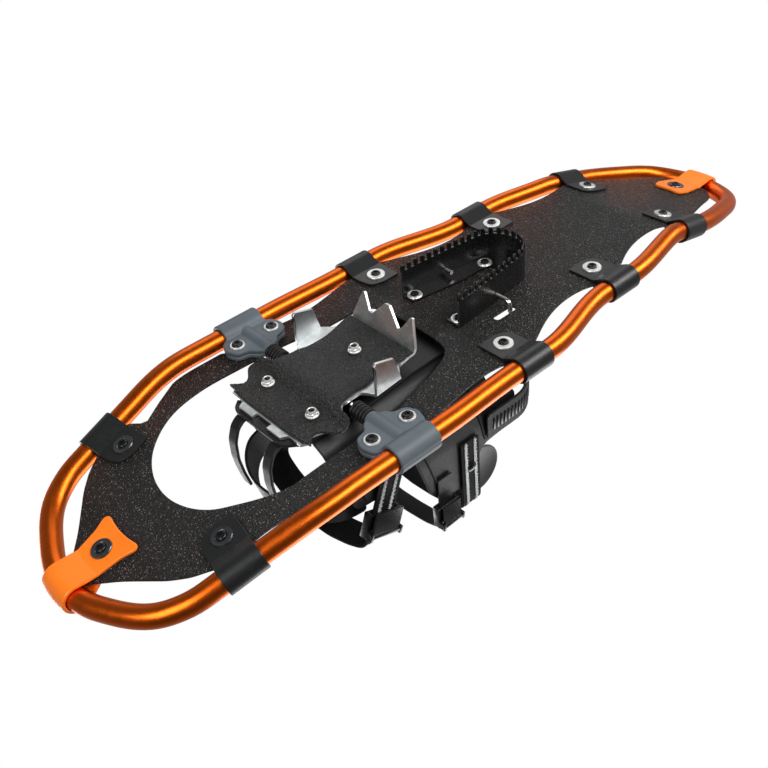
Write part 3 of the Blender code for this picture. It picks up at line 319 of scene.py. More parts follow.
@dataclass(frozen=True)
class Finish:
    """A finish: a colour that drifts to a second one, grain, specks, scuffs and gloss.

    Scales are in features a metre, and the relief is in metres.
    """

    name: str
    colour: Colour
    shade: Colour
    roughness: Point2 = (0.4, 0.55)
    metallic: float = 0.0
    drift: float = 30.0
    grain: float = 900.0
    relief: float = 0.05 * MM
    coat: float = 0.0
    speck_share: float = 0.0
    speck_scale: float = 620.0
    speck_width: float = 0.45
    speck_colour: Colour = (0.5, 0.5, 0.47)
    specular: float = 0.5
    scuffs: float = 0.0
    scuff_colour: Colour = (0.2, 0.2, 0.2)
    weave: bool = False

    def material(self) -> bpy.types.Material:
        """The finish as a material, built at its first use."""
        found = bpy.data.materials.get(self.name)
        if found:
            return found
        material = bpy.data.materials.new(self.name)
        material.use_nodes = True
        material.diffuse_color = (*self.colour, 1.0)
        desk = Desk(material.node_tree)
        shader = desk.tree.nodes["Principled BSDF"]
        shader.inputs["Metallic"].default_value = self.metallic
        shader.inputs["Specular IOR Level"].default_value = self.specular
        shader.inputs["Coat Weight"].default_value = self.coat
        shader.inputs["Coat Roughness"].default_value = 0.12
        desk.tree.links.new(self.colour_socket(desk), shader.inputs["Base Color"])
        desk.tree.links.new(self.grain_socket(desk, self.grain * 0.4, self.roughness), shader.inputs["Roughness"])
        height = self.weave_socket(desk) if self.weave else self.grain_socket(desk, self.grain, (0.0, 1.0))
        bump = desk.add("ShaderNodeBump", {"Strength": 1.0, "Distance": self.relief, "Height": height})
        desk.tree.links.new(bump.outputs[0], shader.inputs["Normal"])
        return material

    def grain_socket(self, desk: Desk, scale: float, ends: Point2) -> bpy.types.NodeSocket:
        """Grain at a scale, between two values."""
        return effect_socket(desk, "grain", {"Scale": scale, "Low": ends[0], "High": ends[1]})

    def colour_socket(self, desk: Desk) -> bpy.types.NodeSocket:
        """The base colour with its drift, specks and scuffs."""
        colour = desk.mix(self.grain_socket(desk, self.drift, (0.0, 1.0)), self.colour, self.shade)
        if self.speck_share:
            sockets = {"Scale": self.speck_scale, "Share": self.speck_share, "Width": self.speck_width}
            colour = desk.mix(effect_socket(desk, "specks", sockets), colour, self.speck_colour)
        if self.scuffs:
            colour = desk.mix(effect_socket(desk, "scuffs", {"Amount": self.scuffs}), colour, self.scuff_colour)
        return colour

    def weave_socket(self, desk: Desk) -> bpy.types.NodeSocket:
        """The relief of a plain weave, from the strap's own flat chart in metres."""
        chart = desk.add("ShaderNodeTexCoord").outputs["UV"]
        split = desk.add("ShaderNodeSeparateXYZ", {0: chart})
        along = desk.math("SINE", desk.math("MULTIPLY", split.outputs[0], 2 * math.pi / (1.6 * MM)))
        across = desk.math("SINE", desk.math("MULTIPLY", split.outputs[1], 2 * math.pi / (1.1 * MM)))
        return desk.remap(desk.math("MULTIPLY", along, across), (-1.0, 1.0), (0.0, 1.0))


class Look(Enum):
    """The finishes of the snowshoe."""

    TUBE = Finish(
        "anodised orange", (0.81, 0.142, 0.012), (0.74, 0.124, 0.010), (0.30, 0.36), 1.0,
        relief=0.002 * MM, grain=500.0,
    )
    DECK = Finish(
        "speckled deck sheet", (0.0055, 0.0055, 0.0055), (0.011, 0.0105, 0.010), (0.34, 0.5),
        relief=0.95 * MM, grain=640.0, drift=260.0, speck_share=0.5, speck_scale=950.0, speck_width=0.36,
        speck_colour=(0.27, 0.255, 0.22), specular=0.3,
    )
    STRAP = Finish(
        "soft black strap", (0.0075, 0.008, 0.0085), (0.011, 0.0115, 0.012), (0.32, 0.42),
        relief=0.012 * MM, scuffs=0.04, specular=0.42,
    )
    ORANGE = Finish(
        "soft orange strap", (0.98, 0.21, 0.008), (0.93, 0.185, 0.006), (0.34, 0.44),
        relief=0.012 * MM, coat=0.1,
    )
    CLAMP = Finish(
        "slate nylon", (0.092, 0.112, 0.126), (0.076, 0.094, 0.107), (0.42, 0.55),
        relief=0.02 * MM, grain=1400.0, specular=0.4,
    )
    ALLOY = Finish(
        "tumbled aluminium", (0.66, 0.68, 0.68), (0.40, 0.42, 0.42), (0.34, 0.5), 1.0,
        drift=60.0, relief=0.02 * MM, grain=420.0, scuffs=0.5, scuff_colour=(0.92, 0.93, 0.93),
    )
    ALLOY_CUT = Finish(
        "cut aluminium edge", (0.82, 0.83, 0.83), (0.70, 0.71, 0.71), (0.3, 0.42), 1.0, relief=0.005 * MM,
    )
    GRIP = Finish(
        "coarse grip sheet", (0.004, 0.004, 0.004), (0.016, 0.016, 0.0155), (0.3, 0.5),
        relief=1.9 * MM, grain=620.0, drift=420.0, speck_share=0.5, speck_scale=1100.0, speck_width=0.34,
        speck_colour=(0.16, 0.16, 0.15), specular=0.5,
    )
    HEEL_STEEL = Finish(
        "gloss black steel", (0.003, 0.003, 0.0034), (0.006, 0.006, 0.0064), (0.24, 0.34),
        relief=0.006 * MM, scuffs=0.08,
    )
    HEEL_EDGE = Finish(
        "worn steel edge", (0.022, 0.022, 0.023), (0.12, 0.12, 0.12), (0.18, 0.3), 0.5, drift=420.0, relief=0.006 * MM,
    )
    NICKEL = Finish(
        "nickel plate", (0.74, 0.72, 0.68), (0.62, 0.60, 0.57), (0.14, 0.26), 1.0, drift=200.0, relief=0.003 * MM,
    )
    ZINC = Finish(
        "zinc washer", (0.78, 0.78, 0.76), (0.66, 0.66, 0.64), (0.34, 0.46), 0.8, drift=200.0, relief=0.003 * MM,
    )
    DARK_WASHER = Finish(
        "dark washer", (0.22, 0.23, 0.235), (0.12, 0.125, 0.13), (0.2, 0.3), 0.95, relief=0.004 * MM,
    )
    SCREW_BLACK = Finish(
        "black oxide screw", (0.035, 0.035, 0.038), (0.018, 0.018, 0.02), (0.18, 0.28), 0.7, relief=0.004 * MM,
    )
    RUBBER = Finish(
        "harness rubber", (0.005, 0.005, 0.0055), (0.009, 0.009, 0.0095), (0.4, 0.54),
        relief=0.03 * MM, grain=1500.0, scuffs=0.03, specular=0.35,
    )
    BUCKLE = Finish(
        "buckle plastic", (0.004, 0.004, 0.0045), (0.008, 0.008, 0.0085), (0.2, 0.32),
        relief=0.01 * MM, grain=1500.0, coat=0.1,
    )
    WEBBING = Finish(
        "woven webbing", (0.005, 0.005, 0.0055), (0.011, 0.011, 0.0115), (0.7, 0.85),
        relief=0.25 * MM, weave=True, specular=0.25,
    )
    THREAD = Finish(
        "pale thread", (0.70, 0.71, 0.73), (0.46, 0.47, 0.49), (0.6, 0.75), relief=0.1 * MM, grain=2500.0,
    )
    TAB = Finish(
        "grey tab", (0.050, 0.051, 0.050), (0.040, 0.041, 0.040), (0.45, 0.55),
        relief=0.01 * MM, grain=1600.0, specular=0.35,
    )


# ------------------------------------------------------------------ drawing


def scaled(points: Sequence[Sequence[float]]) -> list[tuple[float, ...]]:
    """Points given in millimetres, in metres."""
    return [tuple(value * MM for value in point) for point in points]


def circle(centre: Point2, radius: float, steps: int = 32) -> list[Point2]:
    """A ring of points round a centre."""
    turns = [2 * math.pi * (i + 0.3) / steps for i in range(steps)]
    return [(centre[0] + radius * math.cos(t), centre[1] + radius * math.sin(t)) for t in turns]


def rounded(corners: Sequence[Sequence[float]], steps: int = 8) -> list[Point2]:
    """A closed outline from corners of x, y and radius, each corner rounded by an arc.

    Args:
        corners: The corners in metres.
        steps: Straight pieces in each arc.

    Returns:
        The outline's points.
    """
    ring: list[Point2] = []
    for i, (x, y, radius) in enumerate(corners):
        here = Vector((x, y))
        back = Vector(corners[i - 1][:2]) - here
        ahead = Vector(corners[(i + 1) % len(corners)][:2]) - here
        half = back.angle(ahead) / 2
        if radius == 0 or half > math.radians(88):
            ring.append((here.x, here.y))
            continue
        reach = min(radius / math.tan(half), 0.49 * back.length, 0.49 * ahead.length)
        radius = reach * math.tan(half)
        middle = here + (back.normalized() + ahead.normalized()).normalized() * (radius / math.sin(half))
        start = here + back.normalized() * reach - middle
        end = here + ahead.normalized() * reach - middle
        sweep = start.angle_signed(end)
        for step in range(steps + 1):
            point = middle + Matrix.Rotation(-sweep * step / steps, 2) @ start
            ring.append((point.x, point.y))
    return ring


def both_sides(half: Sequence[Point2]) -> list[Point2]:
    """A closed outline from its right half, listed from front to back."""
    return list(half) + [(-x, y) for x, y in reversed(half) if abs(x) > 1e-6]


def smooth_line(stations: Sequence[Sequence[float]], step: float = 3.0) -> list[Point2]:
    """A smooth line through stations.

    Args:
        stations: x, y in millimetres and the heading in degrees of each station.
        step: The length of one straight piece, in millimetres.

    Returns:
        The line's points in metres.
    """
    line: list[Point2] = []
    for (x, y, turn), (next_x, next_y, next_turn) in zip(stations, stations[1:]):
        start, end = Vector((x, y)), Vector((next_x, next_y))
        reach = (end - start).length / 3
        leave = start + reach * Vector((math.cos(math.radians(turn)), math.sin(math.radians(turn))))
        come = end - reach * Vector((math.cos(math.radians(next_turn)), math.sin(math.radians(next_turn))))
        count = max(1, round((end - start).length / step))
        points = interpolate_bezier(start, leave, come, end, count + 1)
        line += [(point.x * MM, point.y * MM) for point in points[:-1]]
    return line + [(stations[-1][0] * MM, stations[-1][1] * MM)]


def ease(value: float, start: float, end: float) -> float:
    """A smooth step from 0 at start to 1 at end."""
    t = min(max((value - start) / (end - start), 0.0), 1.0)
    return t * t * (3 - 2 * t)


def ramp(distance: float, steep: float, length: float) -> float:
    """Height of a slope that starts gently over a length.

    Args:
        distance: How far along the slope.
        steep: Its slope once it is straight.
        length: How long it takes to get there.

    Returns:
        The height.
    """
    if distance <= 0:
        return 0.0
    if distance < length:
        return steep * distance**2 / (2 * length)
    return steep * (distance - length / 2)


def every(start: float, end: float, step: float) -> list[float]:
    """Even places from start to end, no further apart than a step."""
    count = max(1, math.ceil(abs(end - start) / step))
    return [start + (end - start) * i / count for i in range(count + 1)]


class Fold:
    """The mid-line of a bent sheet, and where a point at some distance along it and off it lies."""

    def __init__(self, points: Sequence[Point2], stops: Sequence[float] | None = None, soften: float = 0.0) -> None:
        """Lays the line.

        Args:
            points: The line's corners in metres.
            stops: The distance that each corner has along the flat sheet. Left out, it is the line's own length.
            soften: How far from a corner the line starts to turn.
        """
        line = [Vector(point) for point in points]
        marks = list(stops) if stops else [0.0]
        if not stops:
            for here, ahead in zip(line, line[1:]):
                marks.append(marks[-1] + (ahead - here).length)
        self.points, self.stops = self.softened(line, marks, soften) if soften else (line, marks)
        runs = [(ahead - here).normalized() for here, ahead in zip(self.points, self.points[1:])]
        normals = [Vector((-run.y, run.x)) for run in runs]
        self.mitres = [normals[0]]
        for before, after in zip(normals, normals[1:]):
            middle = (before + after).normalized()
            self.mitres.append(middle / middle.dot(after))
        self.mitres.append(normals[-1])

    @staticmethod
    def softened(line: list[Vector], marks: list[float], reach: float) -> tuple[list[Vector], list[float]]:
        """The line and its stops with each inner corner turned into a short curve.

        Args:
            line: The corners.
            marks: Each corner's distance along the flat sheet.
            reach: How far from a corner the curve starts.

        Returns:
            The new points and their distances.
        """
        points, stops = [line[0]], [marks[0]]
        corners = zip(line, line[1:], line[2:], marks, marks[1:], marks[2:])
        for before, here, after, mark_before, mark, mark_after in corners:
            near = min(reach / (here - before).length, 0.45)
            far = min(reach / (after - here).length, 0.45)
            start, end = here.lerp(before, near), here.lerp(after, far)
            mark_start = mark + (mark_before - mark) * near
            mark_end = mark + (mark_after - mark) * far
            for step in range(5):
                t = step / 4
                points.append(start.lerp(here, t).lerp(here.lerp(end, t), t))
                stops.append(mark_start + (mark_end - mark_start) * t)
        return points + [line[-1]], stops + [marks[-1]]

    def place(self, along: float, off: float) -> Vector:
        """The point at a distance along the line, and off it to the left.

        Args:
            along: The distance along the flat sheet.
            off: The distance off the line.

        Returns:
            The point in the line's plane.
        """
        last = len(self.stops) - 2
        run = next((i for i in range(last) if along < self.stops[i + 1]), last)
        share = (along - self.stops[run]) / (self.stops[run + 1] - self.stops[run])
        point = self.points[run].lerp(self.points[run + 1], share)
        return point + off * self.mitres[run].lerp(self.mitres[run + 1], share)


# ------------------------------------------------------------------ mesh work


def link_helper(name: str, data: bpy.types.ID) -> bpy.types.Object:
    """An object in the scene for as long as it helps."""
    thing = bpy.data.objects.new(name, data)
    bpy.context.scene.collection.objects.link(thing)
    return thing


def drop(thing: bpy.types.Object) -> None:
    """Removes a helper and its data."""
    data = thing.data
    bpy.data.objects.remove(thing)
    (bpy.data.curves if isinstance(data, bpy.types.Curve) else bpy.data.meshes).remove(data)


def take_shape(thing: bpy.types.Object) -> Shape:
    """The shape of a helper as its modifiers leave it. The helper is removed."""
    bpy.context.view_layer.update()
    graph = bpy.context.evaluated_depsgraph_get()
    mesh = bpy.data.meshes.new_from_object(thing.evaluated_get(graph))
    shape = bmesh.new()
    shape.from_mesh(mesh)
    bpy.data.meshes.remove(mesh)
    drop(thing)
    bmesh.ops.remove_doubles(shape, verts=shape.verts, dist=1e-6)
    return shape


def face_out(shape: Shape) -> Shape:
    """Turns a closed shape's faces outward."""
    bmesh.ops.recalc_face_normals(shape, faces=shape.faces)
    if shape.calc_volume(signed=True) < 0:
        bmesh.ops.reverse_faces(shape, faces=shape.faces)
    return shape


def hold(shape: Shape) -> bpy.types.Object:
    """A helper object that holds a shape."""
    mesh = bpy.data.meshes.new("helper")
    shape.to_mesh(mesh)
    shape.free()
    return link_helper("helper", mesh)


def sheet_blank(rings: Sequence[Sequence[Point2]], thickness: float, edge: float = 0.35 * MM) -> Shape:
    """A flat plate with rounded edges.

    Args:
        rings: Its outline, and then its holes.
        thickness: The plate's thickness.
        edge: The radius of its edges.

    Returns:
        The plate, with its flat chart in metres as its UV map.
    """
    curve = bpy.data.curves.new("outline", "CURVE")
    curve.dimensions = "2D"
    curve.fill_mode = "BOTH"
    curve.extrude = thickness / 2 - edge
    curve.bevel_depth = edge
    curve.bevel_resolution = 1
    curve.offset = -edge
    for ring in rings:
        spline = curve.splines.new("POLY")
        spline.points.add(len(ring) - 1)
        for point, (x, y) in zip(spline.points, ring):
            point.co = (x, y, 0.0, 1.0)
        spline.use_cyclic_u = True
    shape = face_out(take_shape(link_helper("outline", curve)))
    chart = shape.loops.layers.uv.verify()
    for face in shape.faces:
        for loop in face.loops:
            loop[chart].uv = loop.vert.co.xy
    return shape


def score(shape: Shape, axis: int, places: Sequence[float]) -> None:
    """Cuts a flat sheet's faces across X (axis 0) or Y (axis 1), so that it can bend there.

    Args:
        shape: The sheet.
        axis: The axis that the cuts cross.
        places: Where they lie on it.
    """
    normal = Vector((1.0, 0.0, 0.0)) if axis == 0 else Vector((0.0, 1.0, 0.0))
    for place in places:
        parts = shape.verts[:] + shape.edges[:] + shape.faces[:]
        bmesh.ops.bisect_plane(shape, geom=parts, dist=1e-6, plane_co=normal * place, plane_no=normal)


def bend(shape: Shape, rule: Callable[[Vector], Vector]) -> Shape:
    """Puts each of a shape's points where the rule says, and turns its faces out."""
    for vertex in shape.verts:
        vertex.co = rule(vertex.co.copy())
    return face_out(shape)


def mark_rim(shape: Shape) -> None:
    """Gives the rim of a flat plate the second finish."""
    for face in shape.faces:
        face.material_index = 0 if abs(face.normal.z) > 0.93 else 1


def mirrored(shape: Shape) -> Shape:
    """A copy of a shape on the left side."""
    other = shape.copy()
    for vertex in other.verts:
        vertex.co.x = -vertex.co.x
    bmesh.ops.reverse_faces(other, faces=other.faces)
    return other


def joined(shapes: Sequence[Shape]) -> Shape:
    """Several shapes as one. The shapes are freed."""
    whole = bmesh.new()
    for shape in shapes:
        mesh = bpy.data.meshes.new("join")
        shape.to_mesh(mesh)
        shape.free()
        whole.from_mesh(mesh)
        bpy.data.meshes.remove(mesh)
    return whole


def bar(start: Sequence[float], end: Sequence[float], radius: float, steps: int = 48) -> Shape:
    """A round bar from one point to another.

    Args:
        start: The middle of one end.
        end: The middle of the other.
        radius: The bar's radius.
        steps: Flats round it.

    Returns:
        The bar.
    """
    start, end = Vector(start), Vector(end)
    axis = end - start
    shape = bmesh.new()
    bmesh.ops.create_cone(
        shape, cap_ends=True, segments=steps, radius1=radius, radius2=radius, depth=axis.length
    )
    turn = axis.to_track_quat("Z", "Y").to_matrix().to_4x4()
    shape.transform(Matrix.Translation((start + end) / 2) @ turn)
    return shape


def block(low: Sequence[float], high: Sequence[float], edge: float = 0.0) -> Shape:
    """A block between two corners, with its edges rounded off."""
    low, high = Vector(low), Vector(high)
    shape = bmesh.new()
    bmesh.ops.create_cube(shape, size=1.0)
    shape.transform(Matrix.Translation((low + high) / 2) @ Matrix.Diagonal((*(high - low), 1.0)))
    if edge:
        bmesh.ops.bevel(shape, geom=shape.edges[:], offset=edge, segments=2, profile=0.5, affect="EDGES")
    return shape


def lathe(profile: Sequence[Sequence[float]], steps: int = 32, closed: bool = False) -> Shape:
    """A turned shape.

    Args:
        profile: Radius and height in millimetres, and how deep six lobes wave the radius where it has a third value.
        steps: Straight pieces round the turn.
        closed: Whether the profile's end joins its start, as on a ring.

    Returns:
        The shape, with its axis along Z.
    """
    shape = bmesh.new()
    rings = []
    for radius, height, *lobes in profile:
        ring = []
        for i in range(steps if radius else 1):
            t = 2 * math.pi * i / steps
            r = radius * MM * (1 + (lobes[0] * math.cos(6 * t) if lobes else 0.0))
            ring.append(shape.verts.new((r * math.cos(t), r * math.sin(t), height * MM)))
        rings.append(ring)
    pairs = list(zip(rings, rings[1:])) + ([(rings[-1], rings[0])] if closed else [])
    for one, two in pairs:
        for i in range(steps):
            j = (i + 1) % steps
            corners = [one[i % len(one)], one[j % len(one)], two[j % len(two)], two[i % len(two)]]
            shape.faces.new(list(dict.fromkeys(corners)))
    return face_out(shape)


def combine(shape: Shape, add: Sequence[Shape] = (), cut: Sequence[Shape] = ()) -> Shape:
    """A shape with others joined to it, and then others cut from it.

    Args:
        shape: The first shape.
        add: What is joined.
        cut: What is cut away.

    Returns:
        The result. What went in is freed.
    """
    thing = hold(shape)
    others = []
    for operation, group in (("UNION", add), ("DIFFERENCE", cut)):
        for other in group:
            others.append(hold(other))
            modifier = thing.modifiers.new(operation.lower(), "BOOLEAN")
            modifier.operation = operation
            modifier.solver = "EXACT"
            modifier.object = others[-1]
    result = take_shape(thing)
    for other in others:
        drop(other)
    return result


def moulded(shape: Shape, voxel: float, passes: int) -> Shape:
    """A shape with soft moulded fillets: remeshed, then smoothed.

    Args:
        shape: The shape.
        voxel: The size of the remesh's cells.
        passes: Rounds of smoothing.

    Returns:
        The moulded shape.
    """
    thing = hold(shape)
    remesh = thing.modifiers.new("remesh", "REMESH")
    remesh.mode = "VOXEL"
    remesh.voxel_size = voxel
    smooth = thing.modifiers.new("smooth", "SMOOTH")
    smooth.factor = 0.5
    smooth.iterations = passes
    return take_shape(thing)


def path_mesh(
    points: Sequence[Sequence[float]],
    facing: Sequence[Sequence[float]] | None = None,
    cyclic: bool = False,
) -> bpy.types.Mesh:
    """A path for a tree to grow on, with the way that each point faces.

    Args:
        points: The path.
        facing: A direction for each point, where the tree reads it.
        cyclic: Whether the path closes.

    Returns:
        A mesh of edges.
    """
    mesh = bpy.data.meshes.new("path")
    edges = [(i, i + 1) for i in range(len(points) - 1)] + ([(len(points) - 1, 0)] if cyclic else [])
    mesh.from_pydata([tuple(point) for point in points], edges, [])
    if facing:
        store(mesh, "facing", facing)
    return mesh


def outward_path(near: Sequence[Vector], far: Sequence[Vector]) -> bpy.types.Mesh:
    """A path through the near points that faces the far ones."""
    return path_mesh(near, [(out - place).normalized() for place, out in zip(near, far)])


def screw_spots(
    label: str, places: Sequence[Point2], low: float, high: float
) -> tuple[list[str], list[tuple[Vector, Vector]], list[tuple[Vector, Vector]]]:
    """Upright screws on both sides.

    Args:
        label: What the screws' nodes are called for.
        places: The right side's front and rear screw.
        low: The height of their lower ends.
        high: The height of their upper ends.

    Returns:
        The nodes, and the place and facing of each lower end and of each upper end.
    """
    names, under, over = [], [], []
    for side, side_name in ((1, "right"), (-1, "left")):
        for (x, y), end in zip(places, ("front", "rear")):
            names.append(f"{label}_screw_{end}_{side_name}")
            under.append((Vector((side * x, y, low)), Vector((0, 0, -1))))
            over.append((Vector((side * x, y, high)), Vector((0, 0, 1))))
    return names, under, over


def spot_mesh(spots: Sequence[tuple[Vector, Vector]], ahead: Sequence[float] = (0.0, 1.0, 0.0)) -> bpy.types.Mesh:
    """Points for a tree to set pieces on, from pairs of place and facing.

    Args:
        spots: The pairs.
        ahead: The way that every piece's X turns.

    Returns:
        A mesh of points.
    """
    mesh = bpy.data.meshes.new("spots")
    mesh.from_pydata([tuple(place) for place, _ in spots], [], [])
    store(mesh, "facing", [facing for _, facing in spots])
    store(mesh, "ahead", [ahead for _ in spots])
    return mesh


def store(mesh: bpy.types.Mesh, name: str, values: Sequence[Sequence[float]]) -> None:
    """Stores one vector for each point of a mesh."""
    layer = mesh.attributes.new(name, "FLOAT_VECTOR", "POINT")
    layer.data.foreach_set("vector", [number for value in values for number in value])


# ------------------------------------------------------------------ workshop


@dataclass
class Workshop:
    """What every maker shares: the frame, the pivot's place and the growing trees."""

    frame: dict[str, Any]
    pivot: Vector = field(init=False)
    sweep: Tree = field(init=False)
    spots: Tree = field(init=False)
    row: Tree = field(init=False)
    count: int = 0

    def __post_init__(self) -> None:
        """Finds the pivot and builds the trees."""
        low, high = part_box("pivot_rod")
        self.pivot = (low + high) / 2
        self.sweep, self.spots, self.row = sweep_tree(), spots_tree(), row_tree()

    def deliver(
        self,
        name: str,
        shape: Shape | bpy.types.Mesh,
        looks: Look | Sequence[Look],
        body: str,
        nodes: Sequence[str] = (),
        crease: float = 25.0,
        slot: str | None = None,
    ) -> bpy.types.Object:
        """Makes a finished piece and puts it on its body.

        Args:
            name: The piece's name.
            shape: Its shape round the pivot.
            looks: Its finish, or one for each material number of its faces.
            body: The body that it rides on.
            nodes: The model's nodes that it stands for.
            crease: The angle over which an edge stays sharp.
            slot: Not used; it was meant as the record's material slot, if it isn't the first node's.

        Returns:
            The piece.
        """
        if isinstance(shape, bpy.types.Mesh):
            mesh = shape
        else:
            mesh = bpy.data.meshes.new(name)
            shape.to_mesh(mesh)
            shape.free()
            for look in [looks] if isinstance(looks, Look) else looks:
                mesh.materials.append(look.value.material())
        mesh.name = name
        mesh.transform(Matrix.Translation(self.pivot))
        mesh.shade_smooth()
        mesh.set_sharp_from_angle(angle=math.radians(crease))
        piece = bpy.data.objects.new(name, mesh)
        bpy.context.scene.collection.objects.link(piece)
        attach(piece, body)
        if nodes:
            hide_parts(*nodes)
        slot or nodes[0]
        self.count += 1
        LOG.info("%s: %d faces on body %s", name, len(mesh.polygons), body)
        return piece

    def copies(self, piece: Shape, tree: Tree, seed: bpy.types.Mesh, look: Look, **values: Any) -> bpy.types.Mesh:
        """Copies of a small piece grown by a tree.

        Args:
            piece: The small piece, which is freed.
            tree: The tree.
            seed: The tree's path or points.
            look: The finish.
            values: The tree's other inputs.

        Returns:
            One plain mesh.
        """
        pattern = hold(piece)
        mesh = tree.grow(seed, look, Piece=pattern, **values)
        drop(pattern)
        return mesh

    def deliver_bar(
        self,
        name: str,
        path: bpy.types.Mesh,
        look: Look,
        radius: float,
        sides: int,
        body: str,
        nodes: Sequence[str] = (),
        crease: float = 60.0,
        slot: str | None = None,
    ) -> None:
        """Grows a round bar along a path and delivers it. The other values are as in deliver."""
        grown = self.sweep.grow(path, look, Radius=radius, Sides=sides)
        self.deliver(name, grown, look, body, nodes, crease, slot)

    def deliver_spots(
        self,
        name: str,
        piece: Shape,
        spots: Sequence[tuple[Vector, Vector]],
        look: Look,
        body: str,
        nodes: Sequence[str] = (),
        crease: float = 40.0,
        slot: str | None = None,
    ) -> None:
        """Sets a small piece on each pair of place and facing, and delivers them as in deliver."""
        self.deliver(name, self.copies(piece, self.spots, spot_mesh(spots), look), look, body, nodes, crease, slot)

    def deliver_row(
        self,
        name: str,
        piece: Shape,
        path: bpy.types.Mesh,
        spacing: float,
        look: Look,
        body: str,
        slot: str,
        crease: float = 30.0,
    ) -> None:
        """Sets a small piece at even steps along a path, and delivers them as in deliver."""
        grown = self.copies(piece, self.row, path, look, Spacing=spacing)
        self.deliver(name, grown, look, body, crease=crease, slot=slot)

    def node_shape(self, name: str) -> Shape:
        """A node's own shape round the pivot, with its points merged and its flats made whole."""
        shape = bmesh.new()
        shape.from_mesh(self.frame["nodes"][name].data)
        bmesh.ops.remove_doubles(shape, verts=shape.verts, dist=1e-6)
        shape.transform(Matrix.Translation(-self.pivot))
        bmesh.ops.dissolve_limit(shape, angle_limit=math.radians(1), verts=shape.verts, edges=shape.edges)
        return shape


def soften_edges(shape: Shape, edge: float, angle: float = 30.0) -> Shape:
    """Rounds off the sharp edges of a shape.

    Args:
        shape: The shape.
        edge: How wide the rounding is.
        angle: The sharpest angle in degrees that is left alone.

    Returns:
        The same shape.
    """
    sharp = [e for e in shape.edges if e.is_manifold and e.calc_face_angle(0.0) > math.radians(angle)]
    bmesh.ops.bevel(shape, geom=sharp, offset=edge, segments=2, profile=0.5, affect="EDGES", clamp_overlap=True)
    return shape


# ------------------------------------------------------------------ tube


@dataclass
class TubeFrame:
    """The bent tube, and the surfaces that follow it. The flat stations are x, y and heading."""

    shop: Workshop
    nose: float = 228.0 * MM
    tail: float = -500.0 * MM
    radius: float = 8.5 * MM
    sides: int = 48
    nose_slope: float = 0.272
    tail_slope: float = 0.25
    nose_ease: float = 50.0 * MM
    tail_ease: float = 18.0 * MM
    nose_rise: float = 49.3 * MM
    tail_rise: float = -338.0 * MM
    stations: tuple[tuple[float, float, float], ...] = (
        (0.0, 228.0, 0.0),
        (35.0, 220.5, -24.0),
        (70.0, 200.5, -42.0),
        (84.6, 179.5, -66.0),
        (90.3, 156.3, -80.0),
        (95.9, 124.7, -80.0),
        (105.4, 60.0, -90.0),
        (105.4, -30.0, -90.0),
        (102.8, -106.0, -90.0),
        (102.8, -146.0, -90.0),
        (85.8, -234.0, -90.0),
        (85.8, -272.0, -90.0),
        (72.2, -356.0, -93.0),
        (70.4, -391.0, -93.0),
        (66.0, -421.0, -102.0),
        (56.0, -458.0, -106.0),
        (48.0, -476.0, -122.0),
        (25.0, -494.0, -155.0),
        (0.0, -500.0, -180.0),
    )
    line: list[Vector] = field(init=False)

    def __post_init__(self) -> None:
        """Works out the right half of the centre line, from nose to tail."""
        self.line = [Vector((x, y, self.rise(y))) for x, y in smooth_line(self.stations, 4.0)]

    def rise(self, y: float) -> float:
        """Height of the centre line, which turns up at the nose and at the tail."""
        front = ramp(y - self.nose_rise, self.nose_slope, self.nose_ease)
        return front + ramp(self.tail_rise - y, self.tail_slope, self.tail_ease)

    def slope(self, y: float) -> float:
        """Slope of the centre line along Y."""
        return (self.rise(y + MM) - self.rise(y - MM)) / (2 * MM)

    def section(self, y: float) -> tuple[Vector, Vector, Vector, Vector]:
        """The right side's tube at a Y: its centre, and the directions inward, along it and up.

        Args:
            y: The place along the snowshoe.

        Returns:
            The centre, inward, along and up.
        """
        here, ahead = next((a, b) for a, b in zip(self.line, self.line[1:]) if b.y <= y <= a.y)
        centre = here.lerp(ahead, (here.y - y) / (here.y - ahead.y))
        along = (ahead - here).normalized()
        up = Vector((0.0, -self.slope(y), 1.0)).normalized()
        return centre, along.cross(up).normalized(), along, up

    def build(self) -> None:
        """The tube as one loop."""
        left = [Vector((-p.x, p.y, p.z)) for p in reversed(self.line[1:-1])]
        path = path_mesh(self.line + left, cyclic=True)
        nodes = ["frame_tube", "tube_joiner"]
        self.shop.deliver_bar("tube", path, Look.TUBE, self.radius, self.sides, "root", nodes)


# ------------------------------------------------------------------ deck and straps


